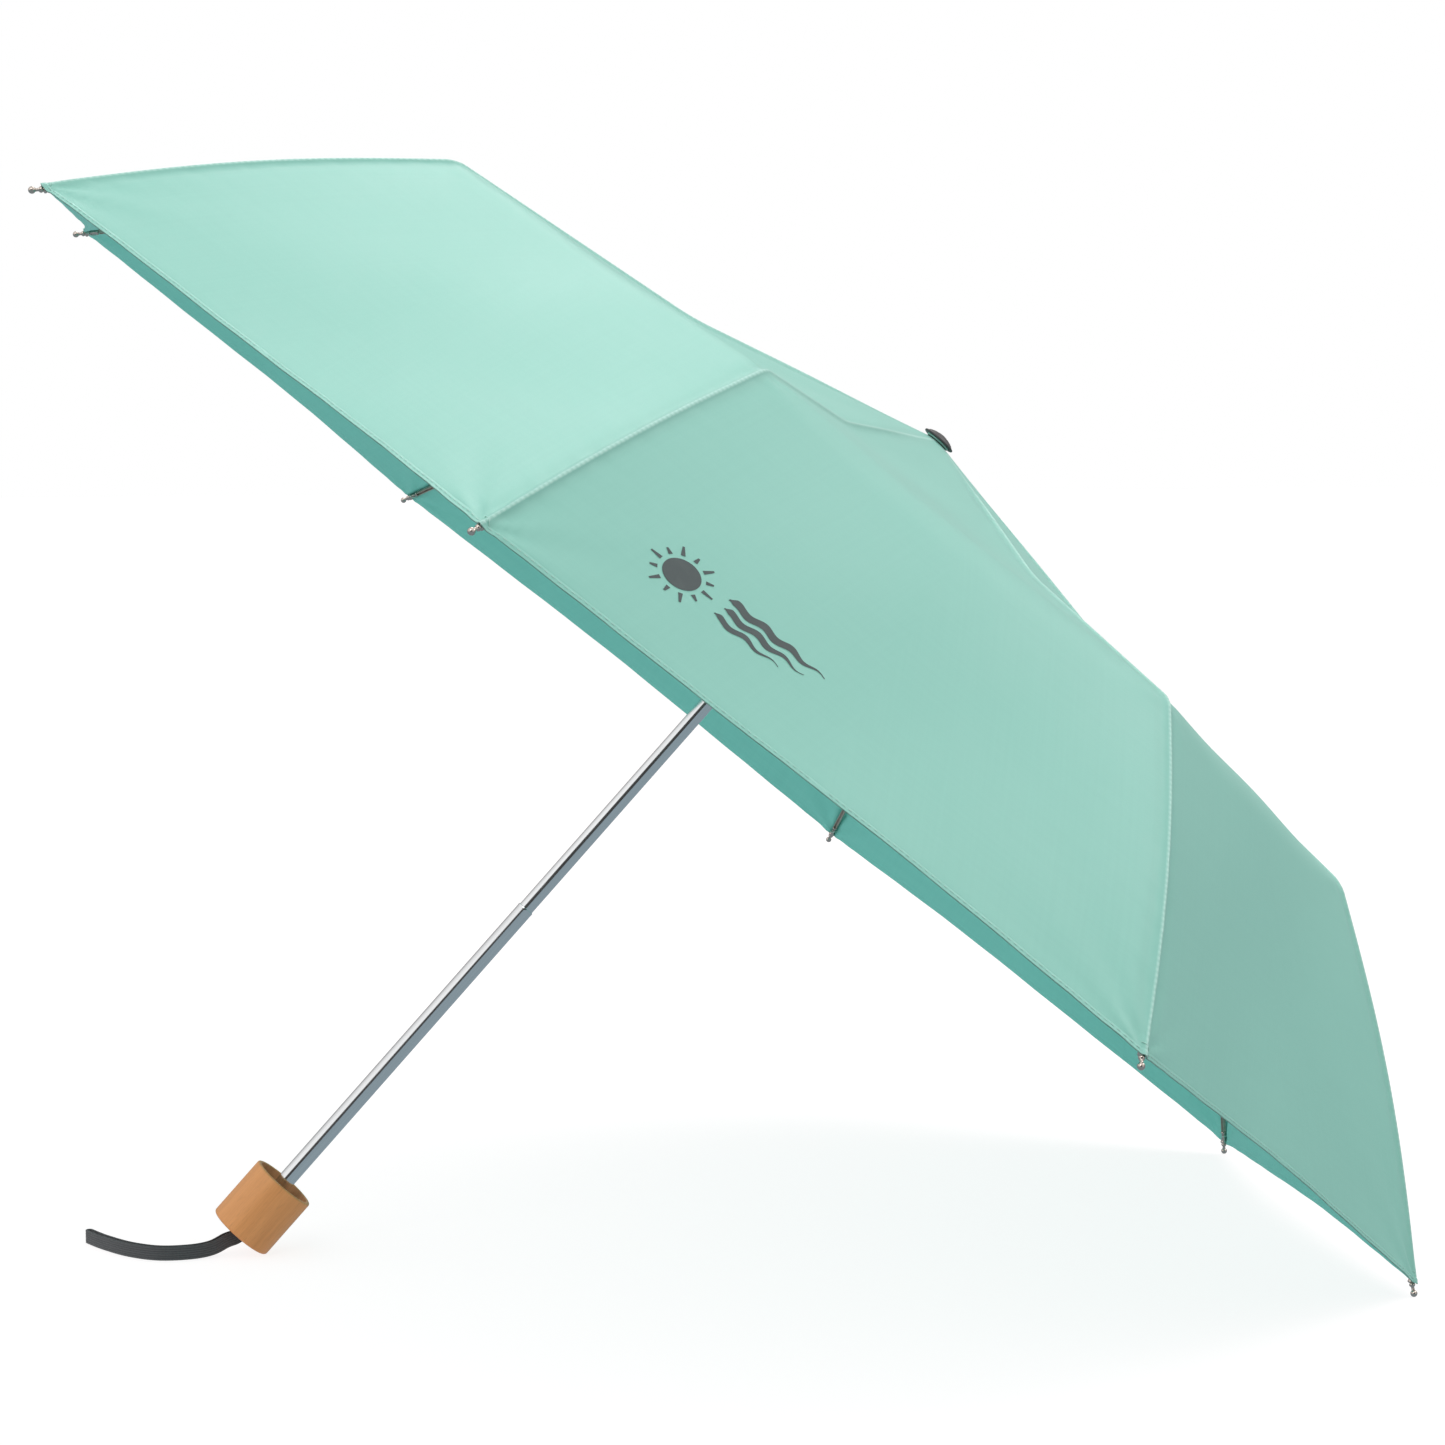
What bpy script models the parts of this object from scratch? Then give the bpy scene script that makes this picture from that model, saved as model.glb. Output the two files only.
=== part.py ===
"""A folding sun and rain umbrella with eight ribs, open and lying on its handle rim and two rib tips.

Every piece is laid out in the umbrella's own frame: Z runs up the shaft to the crown, and zero is
the height of the rib tips. The whole frame is then leant over onto the floor.
"""

import math

import bmesh
import bpy
from mathutils import Matrix, Vector

# The lying pose
LEAN = math.radians(42.097)  # how far the shaft leans from upright, towards +X
REST_X = -0.2425  # where the handle's lowest rim point stands, with the part centred on X
REST_Z = 0.0  # the floor
SAG = math.radians(2.96)  # how far its weight opens the two ribs on the floor, and closes the top two

# The canopy and its frame
RIBS = 8
FIRST_RIB = math.radians(22.5)
TIP_RADIUS = 0.480
HINGE_R, HINGE_Z = 0.0066, 0.1985  # the crown's hinge circle
TOP_ANGLE = math.radians(-13.6)
MIDDLE_ANGLE = math.radians(-7.0)
TOP_LENGTH = 0.160
MIDDLE_LENGTH = 0.1592
RIB_WIDTH = 0.0024
RIB_HEIGHT = 0.0018
CHANNEL_WALL = 0.0005
PIVOT_OFFSET = 0.0016  # the knees' pivots stand off the channels, so that these fold flat
EYE_RADIUS = 0.0016
PIN_RADIUS = 0.0005
PIN_HOLE = 0.00075
PLATE_HALF = 0.00045
CHEEK_IN, CHEEK_OUT = 0.0007, 0.0012
FORK_BACK = 0.0070  # how far a fork's sides run back from its pivot
EYE_BACK = 0.0075  # how far an eye's plate runs into its channel
BAR_GAP = 0.0040  # the channels stop this far from a pivot
CROWN_GAP = 0.0060  # and this far from the crown's hinges
PIN_HEAD = 0.0003  # how far a pin stands out of its fork
STRETCHER_AT = 0.088  # along the top rib
STRETCHER_DROP = 0.0026
STRETCHER_HEIGHT = 0.0016
RUNNER_R, RUNNER_Z = 0.0078, 0.118  # the runner's hinge circle

# The rib tips
BALL_RADIUS = 0.0019
TIP_SLEEVE = 0.0140
SLEEVE_RADIUS = 0.0014
NECK_RADIUS = 0.0007

# The fabric
FABRIC = 0.0005
FABRIC_LIFT = 0.0039  # over the top and middle ribs
HEM_LIFT = 0.0020
HEM_BACK = 0.0080  # the hem's corners stop this far from the balls
HEM_PULL = 0.009  # how far the hem draws in between two tips
APEX_HOLE = 0.0062

# The shaft
LOWER_OUT, LOWER_IN = 0.0047, 0.00435
MIDDLE_OUT, MIDDLE_IN = 0.0042, 0.00385
UPPER_OUT, UPPER_IN = 0.0037, 0.0033
LOWER_TOP = -0.1366
LOWER_END = -0.3660
MIDDLE_TOP = 0.0450
MIDDLE_END = -0.1566
UPPER_TOP = 0.2010
UPPER_END = 0.0250

# The handle
HANDLE_RADIUS = 0.0184
HANDLE_TOP = -0.3355
HANDLE_END = -0.3720
CUP_WALL = 0.0024
CUP_FLOOR = -0.3560
HANDLE_BORE = 0.0050
PLUG_RADIUS = 0.0068
EDGE_ROUND = 0.0016

# The wrist strap
STRAP_HEIGHT = 0.0076
STRAP_THICK = 0.0011
STRAP_SPLIT = 0.0017  # half the distance between the loop's two layers

ROUND = 32


def clear_scene():
    for item in list(bpy.data.objects):
        bpy.data.objects.remove(item, do_unlink=True)


def material(name, colour, roughness, metallic):
    made = bpy.data.materials.new(name)
    made.use_nodes = True
    shader = made.node_tree.nodes["Principled BSDF"]
    shader.inputs["Base Color"].default_value = (*colour, 1.0)
    shader.inputs["Roughness"].default_value = roughness
    shader.inputs["Metallic"].default_value = metallic
    return made


def add_object(name, mesh, matrix=None, parent=None, finish=None):
    made = bpy.data.objects.new(name, mesh)
    bpy.context.scene.collection.objects.link(made)
    if parent:
        made.parent = parent
    if matrix:
        made.matrix_basis = matrix
    if finish and not mesh.materials:
        mesh.materials.append(finish)
    return made


def mesh_from(name, build, smooth=False):
    made = bpy.data.meshes.new(name)
    work = bmesh.new()
    build(work)
    bmesh.ops.recalc_face_normals(work, faces=work.faces)
    work.to_mesh(made)
    work.free()
    if smooth:
        made.shade_smooth()
    return made


def prism(outline, axis, low, high):
    """A builder that pushes a flat outline from low to high along axis. Outlines give the other two axes."""

    def place(pair, height):
        first, second = pair
        return (height, first, second) if axis == "x" else (first, height, second)

    def build(work):
        near = [work.verts.new(place(pair, low)) for pair in outline]
        far = [work.verts.new(place(pair, high)) for pair in outline]
        work.faces.new(near)
        work.faces.new(list(reversed(far)))
        for k in range(len(outline)):
            after = (k + 1) % len(outline)
            work.faces.new((near[k], far[k], far[after], near[after]))

    return build


def disc_points(x, z, radius, start=0.0, sweep=2 * math.pi, count=16):
    steps = count if abs(sweep - 2 * math.pi) < 1e-6 else count + 1
    return [
        (x + radius * math.cos(start + sweep * k / count), z + radius * math.sin(start + sweep * k / count))
        for k in range(steps)
    ]


def lathe(profile, steps=ROUND, closed=True, along="z"):
    """A builder that turns (radius, height) pairs about Z, or about X. An open profile ends on the axis."""

    def place(radius, height, angle):
        across, over = radius * math.cos(angle), radius * math.sin(angle)
        return (across, over, height) if along == "z" else (height, across, over)

    def build(work):
        rings = []
        for radius, height in profile:
            if radius <= 0.0:
                rings.append([work.verts.new(place(0.0, height, 0.0))])
                continue
            rings.append(
                [work.verts.new(place(radius, height, 2 * math.pi * k / steps)) for k in range(steps)]
            )
        pairs = list(zip(rings, rings[1:]))
        if closed:
            pairs.append((rings[-1], rings[0]))
        for first, second in pairs:
            for k in range(steps):
                after = (k + 1) % steps
                if len(first) == 1:
                    work.faces.new((first[0], second[k], second[after]))
                elif len(second) == 1:
                    work.faces.new((first[k], second[0], first[after]))
                else:
                    work.faces.new((first[k], second[k], second[after], first[after]))

    return build


def combined(name, base, added=(), cut=()):
    """One mesh: the base builder joined with the added ones, less the cut ones."""
    main = bpy.data.objects.new(name, mesh_from(name, base))
    bpy.context.scene.collection.objects.link(main)
    helpers = []
    for kind, builders in (("UNION", added), ("DIFFERENCE", cut)):
        for builder in builders:
            other = bpy.data.objects.new(name + "_helper", mesh_from(name + "_helper", builder))
            bpy.context.scene.collection.objects.link(other)
            helpers.append(other)
            step = main.modifiers.new(kind.lower(), "BOOLEAN")
            step.operation = kind
            step.solver = "EXACT"
            step.object = other
    graph = bpy.context.evaluated_depsgraph_get()
    result = bpy.data.meshes.new_from_object(main.evaluated_get(graph))
    result.name = name
    for item in [main, *helpers]:
        bpy.data.objects.remove(item, do_unlink=True)
    return result


def channel(lift):
    """The rib's folded section: a roof and two walls, open on the inner side."""
    side, top = RIB_WIDTH / 2, lift + RIB_HEIGHT / 2
    low, inner, roof = lift - RIB_HEIGHT / 2, side - CHANNEL_WALL, lift + RIB_HEIGHT / 2 - CHANNEL_WALL
    return [
        (-side, low), (-side, top), (side, top), (side, low),
        (inner, low), (inner, roof), (-inner, roof), (-inner, low),
    ]


def tab_outline(x, z, radius, back, low, high, towards):
    """A plate round a pivot at x, z that runs back into a bar between two heights."""
    base = x + towards * back
    if towards > 0:
        arc = disc_points(x, z, radius, math.pi / 2, math.pi, 5)
        return arc + [(base, low), (base, high)]
    arc = disc_points(x, z, radius, -math.pi / 2, math.pi, 5)
    return arc + [(base, high), (base, low)]


def drilled(x, z, radius):
    return prism(disc_points(x, z, radius, count=8), "y", -0.01, 0.01)


def pin(x, z):
    return prism(disc_points(x, z, PIN_RADIUS, count=6), "y", -CHEEK_OUT - PIN_HEAD, CHEEK_OUT + PIN_HEAD)


def cheeks(x, z, back, low, high, towards):
    """The fork's two sides, which hold the next piece's plate between them."""
    outline = tab_outline(x, z, EYE_RADIUS, back, low, high, towards)
    return [
        prism(outline, "y", -CHEEK_OUT, -CHEEK_IN),
        prism(outline, "y", CHEEK_IN, CHEEK_OUT),
    ]


def top_rib_mesh():
    half = RIB_HEIGHT / 2
    eye = prism(tab_outline(0.0, 0.0, EYE_RADIUS, 0.0080, -half, half, 1), "y", -PLATE_HALF, PLATE_HALF)
    bar = prism(channel(0.0), "x", CROWN_GAP, TOP_LENGTH - BAR_GAP)
    hanger = [
        *disc_points(STRETCHER_AT, -STRETCHER_DROP, EYE_RADIUS, math.pi, math.pi, 5),
        (STRETCHER_AT + EYE_RADIUS, half - 0.0002),
        (STRETCHER_AT - EYE_RADIUS, half - 0.0002),
    ]
    # The hanger is wider than the channel's slot is open, so it bites into the walls.
    lug = prism(hanger, "y", -PLATE_HALF, PLATE_HALF)
    fork = cheeks(TOP_LENGTH, PIVOT_OFFSET, FORK_BACK, -half, half, -1)
    return combined(
        "top_rib", bar, [eye, lug, *fork, pin(TOP_LENGTH, PIVOT_OFFSET)],
        [drilled(0.0, 0.0, PIN_HOLE), drilled(STRETCHER_AT, -STRETCHER_DROP, PIN_HOLE)],
    )


def middle_rib_mesh():
    half, lift = RIB_HEIGHT / 2, -PIVOT_OFFSET
    eye = prism(
        tab_outline(0.0, 0.0, EYE_RADIUS, EYE_BACK, lift - half, lift + half, 1), "y", -PLATE_HALF, PLATE_HALF
    )
    bar = prism(channel(lift), "x", BAR_GAP, MIDDLE_LENGTH - BAR_GAP)
    knee = (MIDDLE_LENGTH, -2 * PIVOT_OFFSET)
    fork = cheeks(*knee, FORK_BACK, lift - half, lift + half, -1)
    return combined("middle_rib", bar, [eye, *fork, pin(*knee)], [drilled(0.0, 0.0, PIN_HOLE)])


def end_rib_mesh(length):
    half, lift = RIB_HEIGHT / 2, PIVOT_OFFSET
    eye = prism(
        tab_outline(0.0, 0.0, EYE_RADIUS, EYE_BACK, lift - half, lift + half, 1), "y", -PLATE_HALF, PLATE_HALF
    )
    bar = prism(channel(lift), "x", BAR_GAP, length - TIP_SLEEVE - 0.0001)
    return combined("end_rib", bar, [eye], [drilled(0.0, 0.0, PIN_HOLE)])


def stretcher_mesh(length):
    half = STRETCHER_HEIGHT / 2
    side = RIB_WIDTH / 2
    bar = prism(
        [(-side, -half), (-side, half), (side, half), (side, -half)], "x", 0.0036, length - 0.0090
    )
    fork = cheeks(0.0, 0.0, FORK_BACK, -half, half, 1)
    end = prism(tab_outline(length, 0.0, EYE_RADIUS - 0.0001, 0.0110, -half, half, -1), "y", -PLATE_HALF, PLATE_HALF)
    return combined("stretcher", bar, [*fork, pin(0.0, 0.0), end], [drilled(length, 0.0, PIN_HOLE)])


def rib_tip_mesh(length):
    """The crimped sleeve, its collar, the thin neck and the ball, along the end rib's line."""
    start = length - TIP_SLEEVE + 0.0002
    profile = [(0.0, start), (SLEEVE_RADIUS, start), (SLEEVE_RADIUS, length - 0.0070)]
    profile += [(0.0018, length - 0.0066), (0.0018, length - 0.0058), (NECK_RADIUS, length - 0.0052)]
    first = math.acos(NECK_RADIUS / BALL_RADIUS)
    for k in range(5):
        angle = -first + (first + math.pi / 2) * k / 4
        radius = BALL_RADIUS * math.cos(angle) if k < 4 else 0.0
        profile.append((radius, length + BALL_RADIUS * math.sin(angle)))
    built = mesh_from("rib_tip", lathe(profile, 8, closed=False, along="x"), smooth=True)
    built.transform(Matrix.Translation((0.0, 0.0, PIVOT_OFFSET)))
    return built


def toothed_ring(name, profile, slot_in, slot_out, low, high, slot_half, wire_r=None, wire_z=0.0):
    """A turned hub with a slot for each rib, and a wire through its teeth if it holds one."""
    cutters = []
    for k in range(RIBS):
        turn = Matrix.Rotation(FIRST_RIB + 2 * math.pi * k / RIBS, 4, "Z")
        box = prism(
            [(slot_in, low), (slot_out, low), (slot_out, high), (slot_in, high)], "y", -slot_half, slot_half
        )

        def turned(work, box=box, turn=turn):
            box(work)
            bmesh.ops.transform(work, matrix=turn, verts=work.verts)

        cutters.append(turned)
    hub = combined(name, lathe(profile, 32), [], cutters)
    if wire_r is None:
        return hub
    ring = [(wire_r + PIN_RADIUS * math.cos(a), wire_z + PIN_RADIUS * math.sin(a))
            for a in (2 * math.pi * k / 6 for k in range(6))]

    def from_hub(work):
        work.from_mesh(hub)

    return combined(name + "_wired", from_hub, [lathe(ring, 32)])


def crown_mesh():
    profile = [
        (0.00395, 0.1935), (0.0060, 0.1935), (0.0082, 0.1955), (0.0082, 0.2008), (0.0070, 0.2018),
        (0.00395, 0.2018),
    ]
    return toothed_ring("crown", profile, 0.0047, 0.0100, 0.1900, 0.2060, 0.0009, HINGE_R, HINGE_Z)


def runner_mesh():
    top = RUNNER_Z + 0.0030
    profile = [
        (0.0049, top), (0.0098, top), (0.0098, top - 0.0060), (0.0070, top - 0.0075), (0.0066, top - 0.0100),
        (0.0066, top - 0.0360), (0.0078, top - 0.0375), (0.0078, top - 0.0400), (0.0049, top - 0.0400),
    ]
    profile.reverse()
    return toothed_ring("runner", profile, 0.0057, 0.0120, top - 0.0074, top + 0.0020, 0.0010)


def tube_mesh(name, outer, inner, low, high):
    return mesh_from(name, lathe([(outer, low), (outer, high), (inner, high), (inner, low)]))


def handle_mesh():
    out, top, end, r = HANDLE_RADIUS, HANDLE_TOP, HANDLE_END, EDGE_ROUND
    corner = [(out - r + r * math.sin(a), end + r - r * math.cos(a)) for a in (k * math.pi / 6 for k in range(4))]
    rim = [(out - r / 2 + r / 2 * math.cos(a), top - r / 2 + r / 2 * math.sin(a)) for a in (k * math.pi / 4 for k in range(3))]
    inner = out - CUP_WALL
    profile = [
        (PLUG_RADIUS + 0.0003, end), *corner, *rim, (inner, top - 0.0004), (inner, CUP_FLOOR + 0.0010),
        (inner - 0.0010, CUP_FLOOR), (HANDLE_BORE, CUP_FLOOR), (HANDLE_BORE, LOWER_END - 0.0003),
        (PLUG_RADIUS + 0.0003, LOWER_END - 0.0003),
    ]
    return mesh_from("wood_handle", lathe(profile, 40))


def plug_mesh():
    """The end plug that pins the strap: a button in the handle's foot, with a slot for the strap's two ends."""
    high = LOWER_END - 0.0006
    profile = [
        (0.0, HANDLE_END + 0.0004), (PLUG_RADIUS - 0.0006, HANDLE_END + 0.0004),
        (PLUG_RADIUS, HANDLE_END + 0.0010), (PLUG_RADIUS, high), (0.0, high),
    ]
    wide, thick = STRAP_HEIGHT / 2 + 0.0004, STRAP_SPLIT + STRAP_THICK / 2 + 0.0004
    slot = prism(
        [(-wide, HANDLE_END - 0.001), (wide, HANDLE_END - 0.001), (wide, HANDLE_END + 0.0030),
         (-wide, HANDLE_END + 0.0030)], "y", -thick, thick,
    )
    return combined("end_plug", lathe(profile, 24, closed=False), [], [slot])


def cap_mesh():
    profile = [
        (0.0, 0.2050), (0.0088, 0.2050), (0.0100, 0.2054), (0.0100, 0.2066), (0.0090, 0.2078),
        (0.0065, 0.2090), (0.0035, 0.2097), (0.0, 0.2099),
    ]
    return mesh_from("top_cap", lathe(profile, 28, closed=False), smooth=True)


def rib_angles():
    return [FIRST_RIB + 2 * math.pi * k / RIBS for k in range(RIBS)]


def sag_at(angle):
    return SAG * math.cos(angle)


def end_rib_numbers():
    """The end rib's length and its angle below level, from its knee's pivot to the ball."""
    top = Matrix.Rotation(-TOP_ANGLE, 4, "Y")
    knee = Vector((HINGE_R, 0.0, HINGE_Z)) + top @ Vector((TOP_LENGTH, 0.0, PIVOT_OFFSET))
    knee += Matrix.Rotation(-MIDDLE_ANGLE, 4, "Y") @ Vector((MIDDLE_LENGTH, 0.0, -2 * PIVOT_OFFSET))
    reach = Vector((TIP_RADIUS, 0.0, 0.0)) - knee
    length = math.sqrt(reach.length_squared - PIVOT_OFFSET**2)
    return length, math.atan2(reach.z, reach.x) - math.atan2(PIVOT_OFFSET, length)


def fabric_profile():
    """The fabric's line over a rib: (radius, height) pairs from the crown to the hem's corner."""
    length, angle = end_rib_numbers()
    lift = Vector((math.sin(-TOP_ANGLE), math.cos(TOP_ANGLE))) * FABRIC_LIFT
    elbow = Vector((HINGE_R, HINGE_Z)) + Vector((math.cos(TOP_ANGLE), math.sin(TOP_ANGLE))) * TOP_LENGTH
    knee = elbow + Vector((math.cos(MIDDLE_ANGLE), math.sin(MIDDLE_ANGLE))) * MIDDLE_LENGTH
    along = Vector((math.cos(angle), math.sin(angle)))
    hem = Vector((TIP_RADIUS, 0.0)) - along * HEM_BACK + Vector((-along.y, along.x)) * HEM_LIFT
    start = Vector((APEX_HOLE, HINGE_Z + 0.0049))
    elbow = elbow + lift
    knee = knee + lift
    line = [start]
    line += [start.lerp(elbow, part) for part in (0.12, 0.5, 1.0)]
    line += [elbow.lerp(knee, part) for part in (0.5, 0.94)]
    line += [knee.lerp(hem, part) for part in (0.04, 0.35, 0.7, 1.0)]
    return line


def canopy_point(pair, angle, part):
    """A point of the fabric. Part runs from 0 to 1 across the panel that starts at the rib at angle."""
    step = 2 * math.pi / RIBS
    ends = []
    for side in (angle, angle + step):
        swing = sag_at(side)
        out, up = pair.x - HINGE_R, pair.y - HINGE_Z
        radius = HINGE_R + out * math.cos(swing) - up * math.sin(swing)
        height = HINGE_Z + out * math.sin(swing) + up * math.cos(swing)
        ends.append(Vector((radius * math.cos(side), radius * math.sin(side), height)))
    chord = ends[0].lerp(ends[1], part)
    if pair.x < 0.02:
        turn = angle + step * part
        radius = math.hypot(ends[0].x, ends[0].y)
        return Vector((radius * math.cos(turn), radius * math.sin(turn), chord.z))
    pull = HEM_PULL * 4 * part * (1 - part) * max(0.0, (pair.x - 0.30) / 0.175) ** 2
    return chord + Vector((-chord.x, -chord.y, 0.09)).normalized() * pull


def canopy_mesh():
    line, across = fabric_profile(), 4
    columns = RIBS * across

    def build(work):
        outer, inner = [], []
        for row, pair in enumerate(line):
            over, under = [], []
            for column in range(columns):
                angle = FIRST_RIB + 2 * math.pi * (column // across) / RIBS
                spot = canopy_point(pair, angle, (column % across) / across)
                over.append(work.verts.new(spot))
                under.append(work.verts.new(spot - Vector((0.0, 0.0, FABRIC))))
            outer.append(over)
            inner.append(under)
        for row in range(len(line) - 1):
            for column in range(columns):
                after = (column + 1) % columns
                work.faces.new((outer[row][column], outer[row + 1][column], outer[row + 1][after], outer[row][after]))
                work.faces.new((inner[row][column], inner[row][after], inner[row + 1][after], inner[row + 1][column]))
        for column in range(columns):
            after = (column + 1) % columns
            work.faces.new((outer[0][column], outer[0][after], inner[0][after], inner[0][column]))
            work.faces.new((outer[-1][column], inner[-1][column], inner[-1][after], outer[-1][after]))

    return mesh_from("canopy", build, smooth=True)


def strap_centre(foot):
    """The loop's middle line, from inside the plug down to the floor and round to its far end."""
    z = STRAP_HEIGHT / 2 + 0.0003
    lean = Vector((-math.sin(LEAN), 0.0, -math.cos(LEAN)))
    return [
        foot - lean * 0.0020, foot + lean * 0.0025, Vector((foot.x - 0.0075, -0.0015, 0.0080)),
        Vector((foot.x - 0.0155, -0.0050, z + 0.0008)), Vector((foot.x - 0.0267, -0.0095, z)),
        Vector((foot.x - 0.0434, -0.0098, z)), Vector((foot.x - 0.0593, 0.0015, z)),
        Vector((foot.x - 0.0735, 0.0205, z)), Vector((foot.x - 0.0830, 0.0375, z)),
    ]


def smooth_line(points, steps):
    """A Catmull-Rom line through the points."""
    made = []
    for k in range(len(points) - 1):
        before = points[max(k - 1, 0)]
        after = points[min(k + 2, len(points) - 1)]
        first, second = points[k], points[k + 1]
        for step in range(steps):
            t = step / steps
            made.append(
                0.5 * (2 * first + (second - before) * t + (2 * before - 5 * first + 4 * second - after) * t**2
                       + (3 * first - before - 3 * second + after) * t**3)
            )
    made.append(points[-1].copy())
    return made


def strap_mesh(foot):
    """A flat band that stands on its edge: out along one side of the middle line, round the end and back."""
    middle = smooth_line(strap_centre(foot), 3)
    lean = Vector((-math.sin(LEAN), 0.0, -math.cos(LEAN)))
    spots = []
    for k, point in enumerate(middle):
        ahead = middle[min(k + 1, len(middle) - 1)] - middle[max(k - 1, 0)]
        side = Vector((ahead.y, -ahead.x, 0.0))
        side = Vector((0.0, -1.0, 0.0)) if side.length < 1e-6 else side.normalized()
        share = min(1.0, (point - middle[0]).length / 0.012)
        start_side = Vector((0.0, -1.0, 0.0))
        if side.dot(start_side) < 0:
            side = -side
        side = start_side.lerp(side, share).normalized()
        up = Vector((0.0, 0.0, 1.0)).lerp(Vector((-lean.z, 0.0, lean.x)), 1.0 - share)
        if up.z < 0:
            up = -up
        along = ahead.normalized()
        up = (up - along * up.dot(along)).normalized()
        spots.append((point, side, up, along))
    route = [(p + s * STRAP_SPLIT, s, u) for p, s, u, a in spots]
    last, side, up, along = spots[-1]
    for k in range(1, 6):
        angle = math.pi * k / 6
        turned = side * math.cos(angle) + along * math.sin(angle)
        route.append((last + turned * STRAP_SPLIT, turned, up))
    route += [(p - s * STRAP_SPLIT, -s, u) for p, s, u, a in reversed(spots)]
    half, tall = STRAP_THICK / 2, STRAP_HEIGHT / 2

    def build(work):
        rings = []
        for point, out, up in route:
            rings.append([
                work.verts.new(point + out * half - up * tall), work.verts.new(point + out * half + up * tall),
                work.verts.new(point - out * half + up * tall), work.verts.new(point - out * half - up * tall),
            ])
        work.faces.new(rings[0])
        work.faces.new(list(reversed(rings[-1])))
        for first, second in zip(rings, rings[1:]):
            for k in range(4):
                after = (k + 1) % 4
                work.faces.new((first[k], second[k], second[after], first[after]))

    return mesh_from("wrist_strap", build)


def lying_frame():
    """The empty that leans the whole umbrella over, with the handle's lowest rim point at REST_X."""
    frame = bpy.data.objects.new("lying_frame", None)
    bpy.context.scene.collection.objects.link(frame)
    lean = Matrix.Rotation(LEAN, 4, "Y")
    # The rounded lower edge meets the floor at its steepest point.
    r = EDGE_ROUND
    low = lean @ Vector((HANDLE_RADIUS - r, 0.0, HANDLE_END + r))
    frame.matrix_basis = Matrix.Translation((REST_X - low.x, 0.0, REST_Z + r - low.z)) @ lean
    return frame


def add_ribs(frame, steel, chrome):
    length, end_angle = end_rib_numbers()
    top, middle, end, tip = top_rib_mesh(), middle_rib_mesh(), end_rib_mesh(length), rib_tip_mesh(length)
    for k, angle in enumerate(rib_angles()):
        number = str(k + 1)
        sag = sag_at(angle)
        hinge = Matrix.Rotation(angle, 4, "Z") @ Matrix.Translation((HINGE_R, 0.0, HINGE_Z))
        top_at = hinge @ Matrix.Rotation(-TOP_ANGLE - sag, 4, "Y")
        elbow = top_at @ Matrix.Translation((TOP_LENGTH, 0.0, PIVOT_OFFSET))
        middle_at = elbow @ Matrix.Rotation(TOP_ANGLE - MIDDLE_ANGLE, 4, "Y")
        knee = middle_at @ Matrix.Translation((MIDDLE_LENGTH, 0.0, -2 * PIVOT_OFFSET))
        end_at = knee @ Matrix.Rotation(MIDDLE_ANGLE - end_angle, 4, "Y")
        add_object("top_rib_" + number, top, top_at, frame, steel)
        add_object("middle_rib_" + number, middle, middle_at, frame, steel)
        add_object("end_rib_" + number, end, end_at, frame, steel)
        add_object("rib_tip_" + number, tip, end_at, frame, chrome)
        pivot = top_at @ Vector((STRETCHER_AT, 0.0, -STRETCHER_DROP))
        seat = Matrix.Rotation(angle, 4, "Z") @ Vector((RUNNER_R, 0.0, RUNNER_Z))
        reach = Matrix.Rotation(-angle, 4, "Z") @ (seat - pivot)
        turn = math.atan2(reach.z, reach.x)
        stretcher_at = Matrix.Translation(pivot) @ Matrix.Rotation(angle, 4, "Z") @ Matrix.Rotation(-turn, 4, "Y")
        add_object("stretcher_" + number, stretcher_mesh(reach.length), stretcher_at, frame, steel)


def add_shaft(frame, chrome, nickel, black):
    add_object("lower_tube", tube_mesh("lower_tube", LOWER_OUT, LOWER_IN, LOWER_END, LOWER_TOP), None, frame, chrome)
    add_object("middle_tube", tube_mesh("middle_tube", MIDDLE_OUT, MIDDLE_IN, MIDDLE_END, MIDDLE_TOP), None, frame, chrome)
    add_object("upper_tube", tube_mesh("upper_tube", UPPER_OUT, UPPER_IN, UPPER_END, UPPER_TOP), None, frame, chrome)
    add_object("crown", crown_mesh(), None, frame, nickel)
    add_object("runner", runner_mesh(), None, frame, black)


def main():
    clear_scene()
    fabric = material("mint_fabric", (0.42, 0.70, 0.61), 0.75, 0.0)
    steel = material("rib_steel", (0.36, 0.35, 0.33), 0.42, 0.9)
    chrome = material("chrome", (0.80, 0.80, 0.81), 0.12, 1.0)
    nickel = material("crown_nickel", (0.55, 0.54, 0.52), 0.35, 0.9)
    black = material("black_plastic", (0.03, 0.03, 0.032), 0.45, 0.0)
    cap = material("cap_plastic", (0.06, 0.06, 0.062), 0.40, 0.0)
    wood = material("beech_wood", (0.60, 0.33, 0.15), 0.45, 0.0)
    webbing = material("grey_webbing", (0.085, 0.095, 0.105), 0.85, 0.0)
    frame = lying_frame()
    add_object("canopy", canopy_mesh(), None, frame, fabric)
    add_object("top_cap", cap_mesh(), None, frame, cap)
    add_shaft(frame, chrome, nickel, black)
    add_ribs(frame, steel, chrome)
    add_object("wood_handle", handle_mesh(), None, frame, wood)
    add_object("end_plug", plug_mesh(), None, frame, black)
    bpy.context.view_layer.update()
    foot = frame.matrix_world @ Vector((0.0, 0.0, HANDLE_END))
    add_object("wrist_strap", strap_mesh(foot), None, None, webbing)


main()
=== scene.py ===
"""The looks of a compact folding sun umbrella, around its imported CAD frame. Metres throughout."""

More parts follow.
